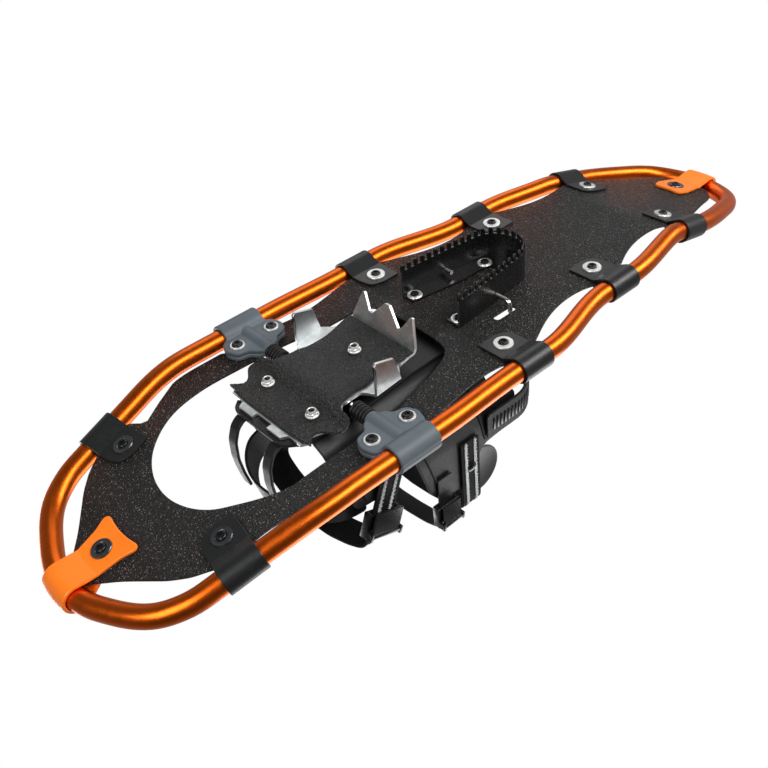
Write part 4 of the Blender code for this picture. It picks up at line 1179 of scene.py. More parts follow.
@dataclass
class DeckAndStraps:
    """The deck sheet, the straps that hang it and their fasteners."""

    shop: Workshop
    tube: TubeFrame
    thickness: float = 2.0 * MM
    sunk: float = 1.5 * MM
    lift: float = 6.8 * MM
    edge: float = 10.5 * MM
    bays: tuple[float, ...] = (14.0 * MM, 3.0 * MM, 6.0 * MM, 11.0 * MM, 11.0 * MM, 8.0 * MM)
    notch: float = 17.0 * MM
    strap_places: tuple[tuple[str, float], ...] = (
        ("front", 140.5 * MM),
        ("middle", -125.6 * MM),
        ("rear", -253.4 * MM),
        ("tail", -373.0 * MM),
    )
    strap: float = 1.8 * MM
    strap_half: float = 16.0 * MM
    strap_end: float = 41.0 * MM
    strap_screw: float = 27.5 * MM
    strap_fold: float = 17.0 * MM
    end_strap: float = 2.6 * MM
    nose_screw: float = 34.0 * MM
    nose_end: float = 51.0 * MM
    nose_bend: float = 76.0 * MM
    tail_screw: float = 45.0 * MM
    tail_end: float = 60.0 * MM
    tail_bend: float = 42.0 * MM
    slot_x: Point2 = (42.8 * MM, 49.2 * MM)
    slot_y: Point2 = (-147 * MM, -170 * MM)
    slot_corner: float = 3.1 * MM
    screw_hole: float = 2.6 * MM

    def height(self, y: float) -> float:
        """Height of the deck's middle, which lies on top of the clamps and between the straps."""
        raised = ease(y, -104 * MM, -40 * MM) * (1 - ease(y, 72 * MM, 122 * MM))
        return self.tube.rise(y) - self.sunk + self.lift * raised

    def bay_depth(self, bay: int, share: float, left: bool) -> float:
        """How far the deck's edge is drawn in, at a share of the way along a bay.

        Args:
            bay: The bay's number, from the nose.
            share: The share of the way, 0 to 1.
            left: Whether it is the left side, which has the notch.

        Returns:
            The distance.
        """
        if bay == 1 and left:
            return self.notch * min(share / 0.07, 1.0) * max(1.0 - (share - 0.07) / 0.4, 0.0)
        return self.bays[bay] * math.sin(math.pi * share) ** 0.8

    def outline(self, left: bool = False) -> list[Point2]:
        """One half of the deck's edge: close to the tube at each hold, and drawn in between them."""
        line = self.tube.line
        lengths = [0.0]
        for here, ahead in zip(line, line[1:]):
            lengths.append(lengths[-1] + (ahead - here).length)

        def length_at(y: float) -> float:
            """The length of the tube's line from the nose to a Y."""
            return next(
                s + (here.y - y) / (here.y - ahead.y) * (ahead - here).length
                for s, here, ahead in zip(lengths, line, line[1:])
                if ahead.y <= y <= here.y
            )

        ys = [y for _, y in self.strap_places]
        holds = [0.0, length_at(ys[0]), length_at(0.0), *(length_at(y) for y in ys[1:]), lengths[-1]]
        half = []
        for i, (s, here) in enumerate(zip(lengths, line)):
            along = (line[min(i + 1, len(line) - 1)] - line[max(i - 1, 0)]).normalized()
            bay = max(k for k in range(len(holds) - 1) if s >= holds[k] - 1e-9)
            width = holds[bay + 1] - holds[bay]
            share = min(max((s - holds[bay] - 15 * MM) / (width - 30 * MM), 0.0), 1.0)
            inset = self.edge + self.bay_depth(bay, share, left)
            if abs(here.y) < 24 * MM:
                inset = max(inset, 13.5 * MM)
            half.append((max(here.x + along.y * inset, 0.0), here.y - along.x * inset))
        return half

    def toe_hole(self) -> list[Point2]:
        """The egg-shaped hole that the toe crampon swings through."""
        side = smooth_line(
            (
                (0.0, 142.0, 0.0),
                (46.0, 122.0, -50.0),
                (68.0, 73.0, -88.0),
                (66.0, 0.0, -92.0),
                (61.0, -36.0, -106.0),
                (53.0, -74.0, -104.0),
                (46.5, -90.0, -130.0),
                (20.0, -97.0, -176.0),
            )
        )
        return both_sides(side + [(0.0, -98.0 * MM)])

    def build_deck(self) -> None:
        """The speckled sheet."""
        slots = []
        for side in (-1, 1):
            (low, high), (front, rear) = sorted(side * x for x in self.slot_x), self.slot_y
            ends = ((low, front), (high, front), (high, rear), (low, rear))
            slots.append(rounded([(x, y, self.slot_corner) for x, y in ends]))
        left = [(-x, y) for x, y in reversed(self.outline(left=True)) if abs(x) > 1e-6]
        shape = sheet_blank([self.outline() + left, self.toe_hole(), *slots], self.thickness)
        score(shape, 1, every(-358 * MM, -336 * MM, 3 * MM) + every(-104 * MM, -40 * MM, 4 * MM))
        score(shape, 1, every(49.3 * MM, 124 * MM, 4 * MM))
        bend(shape, lambda p: Vector((p.x, p.y, p.z + self.height(p.y))))
        self.shop.deliver("deck_sheet", shape, Look.DECK, "root", ["deck"], crease=20.0)

    def wrap(self, radius: float, near: float, far: float, gap: float) -> Fold:
        """The line of a strap that lies on the deck, goes round the tube, and comes back.

        Args:
            radius: From the tube's middle to the strap's.
            near: Where it leaves the deck.
            far: Where it ends on the deck.
            gap: From the deck's middle to the strap's.

        Returns:
            The line.
        """
        low, high = -self.sunk - gap, -self.sunk + gap

        def touch(height: float, side: int) -> float:
            """The turn at which a straight run from the deck meets the tube."""
            return math.atan2(height, near) + side * math.acos(radius / math.hypot(near, height))

        start, end = touch(low, -1), touch(high, 1) - 2 * math.pi
        steps = 28
        turns = [start + (end - start) * i / steps for i in range(steps + 1)]
        arc = [(radius * math.cos(t), radius * math.sin(t)) for t in turns]
        return Fold([(far, low), (near + 3 * MM, low), (near - 2 * MM, low + 0.1 * MM), *arc,
                     (near - 2 * MM, high - 0.1 * MM), (near + 3 * MM, high), (far, high)])

    def strap_blank(self, total: float, pointed: int) -> list[Point2]:
        """A side strap's outline: at each end one corner runs out to a point and the other is round.

        Args:
            total: The strap's flat length.
            pointed: The side of the pointed corner, 1 or -1.

        Returns:
            The outline.
        """
        half = self.strap_half
        end = [(3.6 * MM, -pointed * half * 0.84, 9 * MM), (16.0 * MM, -pointed * half, 12 * MM)]
        start = [(0.4 * MM, pointed * half * 0.93, 1.5 * MM), (0.0, -0.12 * pointed * half, 12 * MM)]
        near = start + end
        return rounded(near + [(total - x, y, r) for x, y, r in reversed(near)])

    def build_side_straps(self) -> None:
        """The four pairs of soft black straps."""
        gap = self.thickness / 2 + GAP + self.strap / 2
        fold = self.wrap(self.tube.radius + 0.45 * MM + self.strap / 2, self.strap_fold, self.strap_end, gap)
        total = fold.stops[-1]
        hole = self.strap_end - self.strap_screw
        for name, y in self.strap_places:
            for side_name, side in (("left", -1), ("right", 1)):
                pointed = -1 if side > 0 and name != "front" else 1
                centre, inward, along, up = self.tube.section(y)
                holes = [circle((place, 0.0), self.screw_hole) for place in (hole, total - hole)]
                shape = sheet_blank([self.strap_blank(total, pointed), *holes], self.strap, 0.45 * MM)
                score(shape, 0, fold.stops[1:-1])

                def onto_tube(point: Vector) -> Vector:
                    """Wraps one point of the blank round the tube."""
                    spot = fold.place(point.x, point.z)
                    return centre + inward * spot.x + up * spot.y + along * point.y

                bend(shape, onto_tube)
                node = f"{name}_side_strap_{side_name}"
                if side < 0:
                    shape = mirrored(shape)
                self.shop.deliver(f"{node}_soft", shape, Look.STRAP, "root", [node], crease=20.0)

    def end_frame(self, nose: bool) -> tuple[Vector, Vector, Vector, float]:
        """The tube's centre at an end, the directions inward and up there, and the radius of its bend.

        Args:
            nose: Whether it is the nose's end.

        Returns:
            The centre, inward, up and the radius.
        """
        y = self.tube.nose if nose else self.tube.tail
        way = -1.0 if nose else 1.0
        inward = Vector((0.0, way, way * self.tube.slope(y))).normalized()
        up = Vector((0.0, -self.tube.slope(y), 1.0)).normalized()
        return Vector((0.0, y, self.tube.rise(y))), inward, up, self.nose_bend if nose else self.tail_bend

    def build_end_strap(self, nose: bool, half: Sequence[Sequence[float]]) -> None:
        """An orange strap: on the deck, round the tube where it bends, and back.

        Args:
            nose: Whether it is the nose's strap.
            half: One end's outline: distance from the end, half width and corner radius, in millimetres.
        """
        centre, inward, up, tight = self.end_frame(nose)
        far, screw = (self.nose_end, self.nose_screw) if nose else (self.tail_end, self.tail_screw)
        gap = self.thickness / 2 + GAP + self.end_strap / 2
        fold = self.wrap(self.tube.radius + 0.6 * MM + self.end_strap / 2, 22 * MM, far, gap)
        total = fold.stops[-1]
        side = scaled([(s, -w, r) for s, w, r in half])
        corners = side + [(total - x, w, r) for x, w, r in reversed(side)]
        corners += [(x, -w, r) for x, w, r in reversed(corners)]
        hole = far - screw
        holes = [circle((place, 0.0), self.screw_hole) for place in (hole, total - hole)]
        shape = sheet_blank([rounded(corners), *holes], self.end_strap, 0.8 * MM)
        score(shape, 0, fold.stops[1:-1])
        score(shape, 1, every(-24 * MM, 24 * MM, 3 * MM))

        def onto_tube(point: Vector) -> Vector:
            """Wraps one point of the blank round the bent tube."""
            spot = fold.place(point.x, point.z)
            lean = math.cos(math.asin(min(abs(point.y) / tight, 0.5)))
            into = spot.x / lean if spot.x < 10 * MM else spot.x
            sag = point.y**2 / (2 * tight)
            return centre + inward * (into + sag) + up * spot.y + Vector((point.y, 0.0, 0.0))

        name = "nose" if nose else "tail"
        bend(shape, onto_tube)
        self.shop.deliver(f"{name}_strap_soft", shape, Look.ORANGE, "root", [f"{name}_strap"], crease=20.0)
        if nose:
            self.build_emboss(onto_tube)

    def build_emboss(self, onto_tube: Callable[[Vector], Vector]) -> None:
        """The raised line on the nose strap, an open shield that runs onto the tube."""
        off = -self.end_strap / 2 + 0.25 * MM
        start = (27.0, 0.0, math.degrees(math.atan2(3.0, 4.0)))
        line = smooth_line((start, (33.0, 9.0, 35.0), (44.0, 10.8, 0.0), (58.0, 10.2, -4.0)))
        for side_name, side in (("left", -1), ("right", 1)):
            path = path_mesh([onto_tube(Vector((s, side * w, off))) for s, w in line])
            name = f"nose_strap_ridge_{side_name}"
            self.shop.deliver_bar(name, path, Look.ORANGE, 0.6 * MM, 10, "root", slot="nose_strap")

    def screw_places(self) -> dict[str, tuple[Vector, Vector]]:
        """Where each strap's screw crosses the deck: its point, and the deck's up direction."""
        places = {}
        for name, y in self.strap_places:
            centre, inward, _, up = self.tube.section(y)
            point = centre + inward * self.strap_screw - up * self.sunk
            places[f"{name}_strap_screw_right"] = (point, up)
            places[f"{name}_strap_screw_left"] = (Vector((-point.x, point.y, point.z)), up)
        for name, y, reach in (
            ("nose", self.tube.nose, -self.nose_screw),
            ("tail_end", self.tube.tail, self.tail_screw),
        ):
            up = Vector((0.0, -self.tube.slope(y), 1.0)).normalized()
            way = Vector((0.0, 1.0, self.tube.slope(y))).normalized()
            point = Vector((0.0, y, self.tube.rise(y))) + way * reach - up * self.sunk
            places[f"{name}_strap_screw"] = (point, up)
        return places

    def build_fasteners(self) -> None:
        """The strap screws: a dished washer, a black socket head and a low nut on top."""
        bright, dark = {}, {}
        for name, place in self.screw_places().items():
            (dark if name.startswith(("nose", "front", "tail_end")) else bright)[name] = place
        for label, group, washer_look in (("bright", bright, Look.ZINC), ("dark", dark, Look.DARK_WASHER)):
            under, over = [], []
            for name, (point, up) in group.items():
                strap = self.end_strap if name.startswith(("nose", "tail_end")) else self.strap
                reach = self.thickness / 2 + strap + 1.3 * GAP
                under.append((point - up * reach, -up))
                over.append((point + up * reach, up))
            names = list(group)
            rows = (
                ("washers", washer(8.2), under, washer_look, names),
                ("heads", socket_head(3.9), under, Look.SCREW_BLACK, ()),
                ("nuts", low_nut(6.0), over, Look.SCREW_BLACK, ()),
            )
            for part, shape, spots, look, nodes in rows:
                self.shop.deliver_spots(f"{label}_strap_{part}", shape, spots, look, "root", nodes, slot=names[0])

    def build(self) -> None:
        """Everything of the deck and its straps."""
        self.build_deck()
        self.build_side_straps()
        self.build_end_strap(True, ((0, 24, 5), (14, 18, 20), (30, 15.5, 10), (46, 15.5, 0)))
        self.build_end_strap(False, ((0, 14, 7), (14, 17, 8), (36, 14, 10), (50, 14, 0)))
        self.build_fasteners()


def washer(radius: float) -> Shape:
    """A dished washer with a raised rim, its back at 0, in millimetres."""
    rim = radius - 0.5
    ring = [(2.4, 0.0), (radius, 0.0), (radius, 0.5), (rim, 1.15), (rim - 0.7, 1.25), (rim - 1.3, 0.95)]
    ring += [(4.7, 1.25), (4.3, 1.0), (2.4, 0.9)]
    return lathe(ring, closed=True)


def socket_head(radius: float) -> Shape:
    """A low socket head with a six-lobed recess."""
    return lathe(
        [
            (0.0, 0.7), (radius, 0.7), (radius, 1.9), (radius - 0.25, 2.4), (radius - 0.9, 2.75),
            (2.5, 2.85), (2.1, 2.7, 0.12), (2.0, 1.6, 0.12), (0.0, 1.4),
        ],
        36,
    )


def low_nut(radius: float) -> Shape:
    """A flanged nut with a short domed barrel."""
    return lathe(
        [(0.0, 2.3), (1.2, 2.3), (2.2, 1.9), (2.6, 1.2), (radius - 0.8, 1.1), (radius, 0.7), (radius, 0.0), (0.0, 0.0)]
    )


# ------------------------------------------------------------------ pivot


@dataclass
class PivotGroup:
    """The clamps, the rod and its ribbed sleeves."""

    shop: Workshop
    tube: TubeFrame
    deck: DeckAndStraps
    rod: float = 3.2 * MM
    rod_half: float = 95.0 * MM
    clamp_x: float = 105.4 * MM
    clamp_half: float = 19.0 * MM
    wall: float = 3.0 * MM
    flange: float = 4.0 * MM
    screw: Point2 = (83.0 * MM, 17.0 * MM)
    voxel: float = 0.75 * MM

    def half_clamp(self, up: bool) -> Shape:
        """The right clamp's upper or lower half, moulded with soft fillets."""
        ears = [(66, 0), (62.5, 8), (71, 14), (73.5, 24), (83, 28), (93, 25), (97, 19)]
        radii = (0, 5, 4, 6, 9, 5, 0)
        front = scaled([(x, y, r) for (x, y), r in zip(ears, radii)])
        corners = front[::-1] + [(x, -y, r) for x, y, r in front[1:]]
        flange = sheet_blank([rounded(corners)], self.flange, 0.3 * MM)
        flange.transform(Matrix.Translation((0.0, 0.0, (1 if up else -1) * self.flange / 2)))
        sleeve = bar(
            (self.clamp_x, -self.clamp_half, 0), (self.clamp_x, self.clamp_half, 0), self.tube.radius + self.wall, 64
        )
        boss = bar((61 * MM, 0, 0), (100 * MM, 0, 0), self.rod + 3.6 * MM, 40)
        far = 130 * MM
        cuts = [
            bar((self.clamp_x, -far, 0), (self.clamp_x, far, 0), self.tube.radius + 0.35 * MM, 64),
            bar((40 * MM, 0, 0), (self.clamp_x, 0, 0), self.rod + GAP, 24),
        ]
        gap = 0.12 * MM
        cuts.append(block((0, -far, -far), (2 * far, far, gap)) if up else block((0, -far, -gap), (2 * far, far, far)))
        if up:
            low = self.deck.height(0.0) - self.deck.thickness / 2 - GAP
            cuts.append(block((0, -far, low), (92.6 * MM, far, far)))
        return moulded(combine(flange, add=[sleeve, boss], cut=cuts), self.voxel, 5)

    def build_clamps(self) -> None:
        """The four halves."""
        for up, name in ((False, "lower"), (True, "upper")):
            shape = self.half_clamp(up)
            for side, half in (("left", mirrored(shape)), ("right", shape)):
                node = f"clamp_{name}_{side}"
                self.shop.deliver(f"{node}_moulded", half, Look.CLAMP, "root", [node], crease=50.0)

    def build_screws(self) -> None:
        """The black screws in their silver washers, and the nuts on the deck."""
        top = self.deck.height(0.0) + self.deck.thickness / 2 + GAP
        places = [(self.screw[0], end * self.screw[1]) for end in (1, -1)]
        names, under, over = screw_spots("clamp", places, -self.flange - 0.1 * MM, top)
        rows = (
            ("washers", washer(6.4), under, Look.ZINC, names),
            ("heads", socket_head(4.4), under, Look.SCREW_BLACK, ()),
            ("nuts", low_nut(5.2), over, Look.SCREW_BLACK, ()),
        )
        for part, shape, spots, look, nodes in rows:
            self.shop.deliver_spots(f"clamp_{part}", shape, spots, look, "root", nodes, slot=names[0])

    def build_rod(self) -> None:
        """The rod, and the ribs of its sleeves."""
        path = path_mesh([(x, 0.0, 0.0) for x in every(-self.rod_half, self.rod_half, 40 * MM)])
        self.shop.deliver_bar("rod", path, Look.NICKEL, self.rod, 32, "root", ["pivot_rod"], 50.0)
        for side, side_name in ((1, "right"), (-1, "left")):
            start, end = side * 44.4 * MM, side * 60.6 * MM
            bore, skin = self.rod / MM + 0.15, 6.0
            core = lathe([(bore, 44.2), (skin, 44.2), (skin, 60.6), (bore, 60.6)], closed=True)
            core.transform(Matrix.Rotation(side * math.pi / 2, 4, "Y"))
            rib = lathe([(5.8, -1.1), (6.8, -1.0), (7.1, -0.6), (7.1, 0.6), (6.8, 1.0), (5.8, 1.1)], closed=True)
            rib.transform(Matrix.Rotation(math.pi / 2, 4, "Y"))
            places = [(start + side * 1.4 * MM, 0, 0), (end - side * 1.4 * MM, 0, 0)]
            facing = [(0, 0, 1), (0, 0, 1)]
            ribs = self.shop.copies(rib, self.shop.row, path_mesh(places, facing), Look.RUBBER, Spacing=3.3 * MM)
            shape = bmesh.new()
            shape.from_mesh(ribs)
            bpy.data.meshes.remove(ribs)
            node = f"rod_sleeve_{side_name}"
            self.shop.deliver(f"{node}_ribbed", joined([core, shape]), Look.RUBBER, "root", [node], crease=40.0)

    def build(self) -> None:
        """Everything of the pivot."""
        self.build_clamps()
        self.build_screws()
        self.build_rod()


# ------------------------------------------------------------------ toe crampon


@dataclass
class ToeCrampon:
    """The aluminium crampon, its grip pad and its bolts, all on the binding."""

    shop: Workshop
    metal: float = 2.5 * MM
    pad: float = 2.2 * MM
    side_fold: float = 48.5 * MM
    side_radius: float = 1.5 * MM
    bolts: tuple[Point2, ...] = ((0.0, -38.0 * MM), (27.5 * MM, 27.4 * MM), (-27.5 * MM, 27.4 * MM))
    bolt_hole: float = 3.1 * MM
    plate_z: float = 7.0 * MM
    plate: float = 3.0 * MM
    fold: Fold = field(init=False)

    def __post_init__(self) -> None:
        """Lays the side view: it dips under the rod, and its rear edge turns down."""
        points = [(60, 3.9), (23, 2.7), (19, 2.6), (9, -5.3), (-9, -5.3), (-17, -3.4), (-23, -4.0)]
        points += [(-63, -8.1), (-68, -8.6), (-76, -33.6)]
        stops = [y for y, _ in points[:-1]] + [-68 - math.hypot(8, 25)]
        self.fold = Fold(scaled(points)[::-1], [stop * MM for stop in stops[::-1]], soften=3.0 * MM)

    def bent(self, point: Vector) -> Vector:
        """Where a point of the flat blank goes once its sides and its rear are bent down.

        Args:
            point: A point of the flat blank.

        Returns:
            Its place on the bent crampon.
        """
        start = self.side_fold - self.side_radius
        reach, off = abs(point.x), point.z
        arc = self.side_radius * math.pi / 2
        if reach <= start:
            x, z = reach, off
        elif reach <= start + arc:
            turn = (reach - start) / self.side_radius
            x = start + (self.side_radius + off) * math.sin(turn)
            z = -self.side_radius + (self.side_radius + off) * math.cos(turn)
        else:
            x, z = start + self.side_radius + off, -self.side_radius - (reach - start - arc)
        place = self.fold.place(point.y, z)
        return Vector((math.copysign(x, point.x), place.x, place.y))

    def metal_outline(self) -> list[Point2]:
        """The crampon's blank, from its stepped front edge to its rear teeth."""
        front = [(0, 52, 0), (9, 52, 0.6), (9, 57, 0.6), (26, 57, 1), (29, 51.5, 0.6), (43, 51.5, 1), (46, 46, 2)]
        side = [(42, 40, 3), (44, 33, 4), (47.5, 27, 4), (47.5, 13, 4), (40, 9, 3), (39, -10, 6), (44, -15, 3)]
        tab = [(48.5, -17, 1), (69.3, -14, 1.2), (77.0, -22.5, 1.2), (70.3, -39, 1.2), (48.5, -42, 2)]
        rear = [(38, -50, 5), (37, -62, 3), (37, -72, 3), (29.0, -94.0, 0.8), (27, -94.0, 0.8)]
        teeth = [(18.5, -81, 0.8), (15.5, -80, 0.8), (2.5, -94.0, 0.8), (0, -94.0, 0)]
        half = scaled(front + side + tab + rear + teeth)
        whole = half + [(-x, y, r) for x, y, r in reversed(half) if x > 0]
        return rounded(whole, 4)

    def pad_outline(self) -> list[Point2]:
        """The grip pad's outline, whose edge is a little ragged."""
        stations = (
            (50.0, 48.0, 0.0),
            (43.5, 38.0, -80.0),
            (57.5, 23.0, -80.0),
            (55.0, 13.0, -140.0),
            (39.5, 7.5, -120.0),
            (36.0, -14.0, -95.0),
            (33.5, -36.0, -88.0),
            (37.0, -58.0, -80.0),
            (37.5, -66.5, -90.0),
        )
        side = smooth_line(stations, 1.5)
        ragged = [(x + 0.25 * MM * math.sin(9.7 * i), y) for i, (x, y) in enumerate(side)]
        return both_sides([(0.0, 50.0 * MM), (30.0 * MM, 50.0 * MM), *ragged, (0.0, -66.5 * MM)])

    def scored(self, outline: list[Point2], thickness: float, edge: float) -> Shape:
        """A blank with the bolts' holes, cut across at each of the fold's bends."""
        holes = [circle(centre, self.bolt_hole, 20) for centre in self.bolts]
        shape = sheet_blank([outline, *holes], thickness, edge)
        score(shape, 1, self.fold.stops[1:-1])
        return shape

    def build_metal(self) -> None:
        """The crampon, with its cut edges brighter than its faces."""
        shape = self.scored(self.metal_outline(), self.metal, 0.3 * MM)
        for side in (-1, 1):
            start = side * (self.side_fold - self.side_radius)
            score(shape, 0, every(start, start + side * self.side_radius * math.pi / 2, 0.4 * MM))
        mark_rim(shape)
        bend(shape, self.bent)
        looks = [Look.ALLOY, Look.ALLOY_CUT]
        self.shop.deliver("toe_crampon_metal", shape, looks, "binding", ["toe_crampon"], crease=20.0)

    def build_pad(self) -> None:
        """The coarse pad under the crampon."""
        shape = self.scored(self.pad_outline(), self.pad, 0.4 * MM)
        shift = -(self.metal / 2 + GAP + self.pad / 2)

        def under_metal(point: Vector) -> Vector:
            """Lays one point of the pad under the crampon."""
            place = self.fold.place(point.y, point.z + shift)
            return Vector((point.x, place.x, place.y))

        bend(shape, under_metal)
        self.shop.deliver("grip_sheet", shape, Look.GRIP, "binding", ["grip_pad"], crease=20.0)

    def build_bolts(self) -> None:
        """The bolts: a low head on the foot plate, a collar, and a locking nut under the pad."""
        names = ("crampon_bolt_rear", "crampon_bolt_front_right", "crampon_bolt_front_left")
        nuts, stems = [], []
        for x, y in self.bolts:
            metal = self.fold.place(y, 0.0).y
            low = metal - self.metal / 2 - GAP - self.pad - 0.75 * MM
            nuts.append((Vector((x, y, low)), Vector((0, 0, -1))))
            top = self.plate_z + self.plate / 2 + GAP
            stems.append(bar((x, y, low - 2 * MM), (x, y, top + 0.8 * MM), 2.2 * MM, 24))
            if self.plate_z - self.plate / 2 - metal > 3 * MM:
                collar = (x, y, metal + self.metal / 2 + 0.75 * MM), (x, y, self.plate_z - self.plate / 2 - GAP)
                stems.append(bar(*collar, 4.5 * MM, 32))
            head = lathe([(0.0, 2.0), (2.6, 1.8), (4.6, 0.9), (5.0, 0.0), (0.0, 0.0)], 32)
            head.transform(Matrix.Translation((x, y, top)))
            stems.append(head)
        self.shop.deliver("crampon_bolts", joined(stems), Look.NICKEL, "binding", names, crease=40.0)
        for part, shape, look in (("lock_nuts", lock_nut(), Look.ZINC), ("bolt_ends", bolt_end(), Look.SCREW_BLACK)):
            self.shop.deliver_spots(f"crampon_{part}", shape, nuts, look, "binding", crease=35.0, slot=names[0])

    def build(self) -> None:
        """Everything of the toe crampon."""
        self.build_metal()
        self.build_pad()
        self.build_bolts()


def bolt_end() -> Shape:
    """The bolt's end in its nut."""
    return lathe([(0.0, 5.35), (1.5, 5.25), (2.2, 4.8), (2.3, 4.2), (0.0, 4.2)], 20)


def lock_nut() -> Shape:
    """A six-sided nut with a washer face and a round crown with a hollow end."""
    skirt = lathe([(2.3, 0.0), (5.2, 0.0), (5.4, 0.3), (5.2, 0.8), (2.3, 0.8)], 36, closed=True)
    body = lathe([(2.3, 0.6), (4.4, 0.6), (4.75, 0.9), (4.75, 2.9), (4.3, 3.4), (2.3, 3.4)], 6, closed=True)
    crown = lathe([(2.0, 3.0), (4.0, 3.0), (4.0, 3.9), (3.5, 4.7), (2.7, 5.0), (2.2, 4.6), (2.0, 3.6)], 36, closed=True)
    core = lathe([(0.0, 4.0), (1.9, 4.0), (2.1, 3.8), (2.1, 1.0), (0.0, 1.0)], 24)
    return joined([skirt, body, crown, core])


# ------------------------------------------------------------------ heel


@dataclass
class HeelGroup:
    """The toothed heel crampon, its screws and the wire lifter."""

    shop: Workshop
    deck: DeckAndStraps
    steel: float = 1.8 * MM
    tip: float = -34.0 * MM
    tooth: float = 5.8 * MM
    pitch: float = 7.0 * MM
    screws: tuple[Point2, ...] = ((26.0 * MM, -126.0 * MM), (16.0 * MM, -200.0 * MM))
    lifter_y: float = -165.0 * MM
    lifter_z: float = -10.0 * MM
    wire: float = 2.0 * MM
    lifter_half: float = 46.0 * MM
    lifter_rise: float = 14.5 * MM
    lifter_reach: float = 62.0 * MM

    def half_line(self) -> list[Point2]:
        """The right half of the wall's plan: a side that closes in to a round rear."""
        side = scaled([(33.0, -119.0), (32.5, -135.0), (29.5, -165.0), (25.0, -196.0)])
        turns = [math.radians(-8 - 82 * i / 16) for i in range(17)]
        rear = [(25.2 * MM * math.cos(t), -196.0 * MM + 24.0 * MM * math.sin(t)) for t in turns]
        return side[:-1] + rear

    def build_wall(self) -> None:
        """The wall with its flange, and a row of teeth along its edge."""
        half = self.half_line()
        fold = Fold(half + [(-x, y) for x, y in reversed(half[:-1])])
        total = fold.stops[-1]
        flat = self.deck.height(self.lifter_y) - self.deck.thickness / 2 - GAP
        top, low = flat - 0.2 * MM, self.tip + self.tooth
        ring = [(0.0, top), (0.0, low), (total, low), (total, top)]
        near = fold.stops[2]
        holes = [circle((s, self.lifter_z), self.wire + 0.5 * MM, 24) for s in (near, total - near)]
        wall = sheet_blank([rounded([(x, y, 0.8 * MM) for x, y in ring], 3), *holes], self.steel, 0.25 * MM)
        mark_rim(wall)
        score(wall, 0, fold.stops[1:-1])

        def around(point: Vector) -> Vector:
            """Bends one point of the wall round the heel."""
            place = fold.place(point.x, point.z)
            return Vector((place.x, place.y, point.y))

        bend(wall, around)
        inner = [(x * 0.48, y + 13 * MM) for x, y in half[3:]]
        lip = scaled([(20, -119), (18, -135), (12, -170)])
        outer = [(x - 0.25 * MM if x > 0 else x, y + 0.25 * MM) for x, y in half]
        ring = outer + [(-x, y) for x, y in reversed(outer[:-1])]
        ring += [(-x, y) for x, y in lip] + [(-x, y) for x, y in inner[:-1]] + inner[::-1] + lip[::-1]
        flange = sheet_blank([ring], self.steel, 0.25 * MM)
        flange.transform(Matrix.Translation((0.0, 0.0, flat - self.steel / 2)))
        looks = [Look.HEEL_STEEL, Look.HEEL_EDGE]
        self.shop.deliver("heel_wall", joined([wall, flange]), looks, "root", ["heel_crampon"], crease=20.0)
        inset = 0.32 * self.pitch
        places = [fold.place(s, 0.0) for s in every(inset, total - inset, 2 * MM)]
        path = [(p.x, p.y, low) for p in places]
        row, step = path_mesh(path, [(0, 0, -1)] * len(path)), total - 2 * inset
        step /= round(step / self.pitch)
        self.shop.deliver_row(
            "heel_teeth", self.tooth_shape(), row, step, Look.HEEL_STEEL, "root", "heel_crampon", 25.0
        )

    def tooth_shape(self) -> Shape:
        """One tooth: a leaning block with a slanted, slightly narrower tip. X runs along the wall."""
        side = [(-2.0, -1.2, 0), (2.1, -1.2, 0), (2.1, 4.9, 0.4), (1.4, 5.7, 0.4), (-1.0, 5.2, 0.5), (-1.8, 3.6, 0.5)]
        shape = sheet_blank([rounded(scaled(side), 2)], self.steel, 0.2 * MM)
        mark_rim(shape)
        shape.transform(Matrix.Rotation(math.pi / 2, 4, "X"))
        return shape

    def build_screws(self) -> None:
        """The nuts under the flange and the heads on the deck."""
        flat = self.deck.height(self.screws[0][1])
        low = flat - self.deck.thickness / 2 - 1.3 * GAP - self.steel
        top = flat + self.deck.thickness / 2 + GAP
        names, under, over = screw_spots("heel", self.screws, low, top)
        rows = (
            ("washers", washer(6.6), under, Look.ZINC, names, 35.0),
            ("nuts", socket_head(3.6), under, Look.SCREW_BLACK, (), 35.0),
            ("screw_heads", low_nut(5.2), over, Look.SCREW_BLACK, (), 40.0),
        )
        for part, shape, spots, look, nodes, crease in rows:
            self.shop.deliver_spots(f"heel_{part}", shape, spots, look, "root", nodes, crease, names[0])

    def build_lifter(self) -> None:
        """The bent wire, lying back on the deck."""
        out, up, back = self.lifter_half, self.lifter_rise, -self.lifter_reach
        half = [(21 * MM, 0, 0), (out, 0, 0), (out, 0, up), (out - 1 * MM, back + 10 * MM, up), (24 * MM, back, up)]
        corners = [Vector(p) for p in half + [(-x, y, z) for x, y, z in reversed(half)]]
        route = [corners[0]]
        for before, here, after in zip(corners, corners[1:], corners[2:]):
            start = here + (before - here).normalized() * 5.5 * MM
            end = here + (after - here).normalized() * 5.5 * MM
            for step in range(9):
                t = step / 8
                route.append(start.lerp(here, t).lerp(here.lerp(end, t), t))
        route.append(corners[-1])
        shift = Vector((0.0, self.lifter_y, self.lifter_z))
        path = path_mesh([point + shift for point in route])
        self.shop.deliver_bar("lifter_bail", path, Look.NICKEL, self.wire, 20, "lifter", ["heel_lifter"])

    def build(self) -> None:
        """Everything of the heel."""
        self.build_wall()
        self.build_screws()
        self.build_lifter()


# ------------------------------------------------------------------ binding


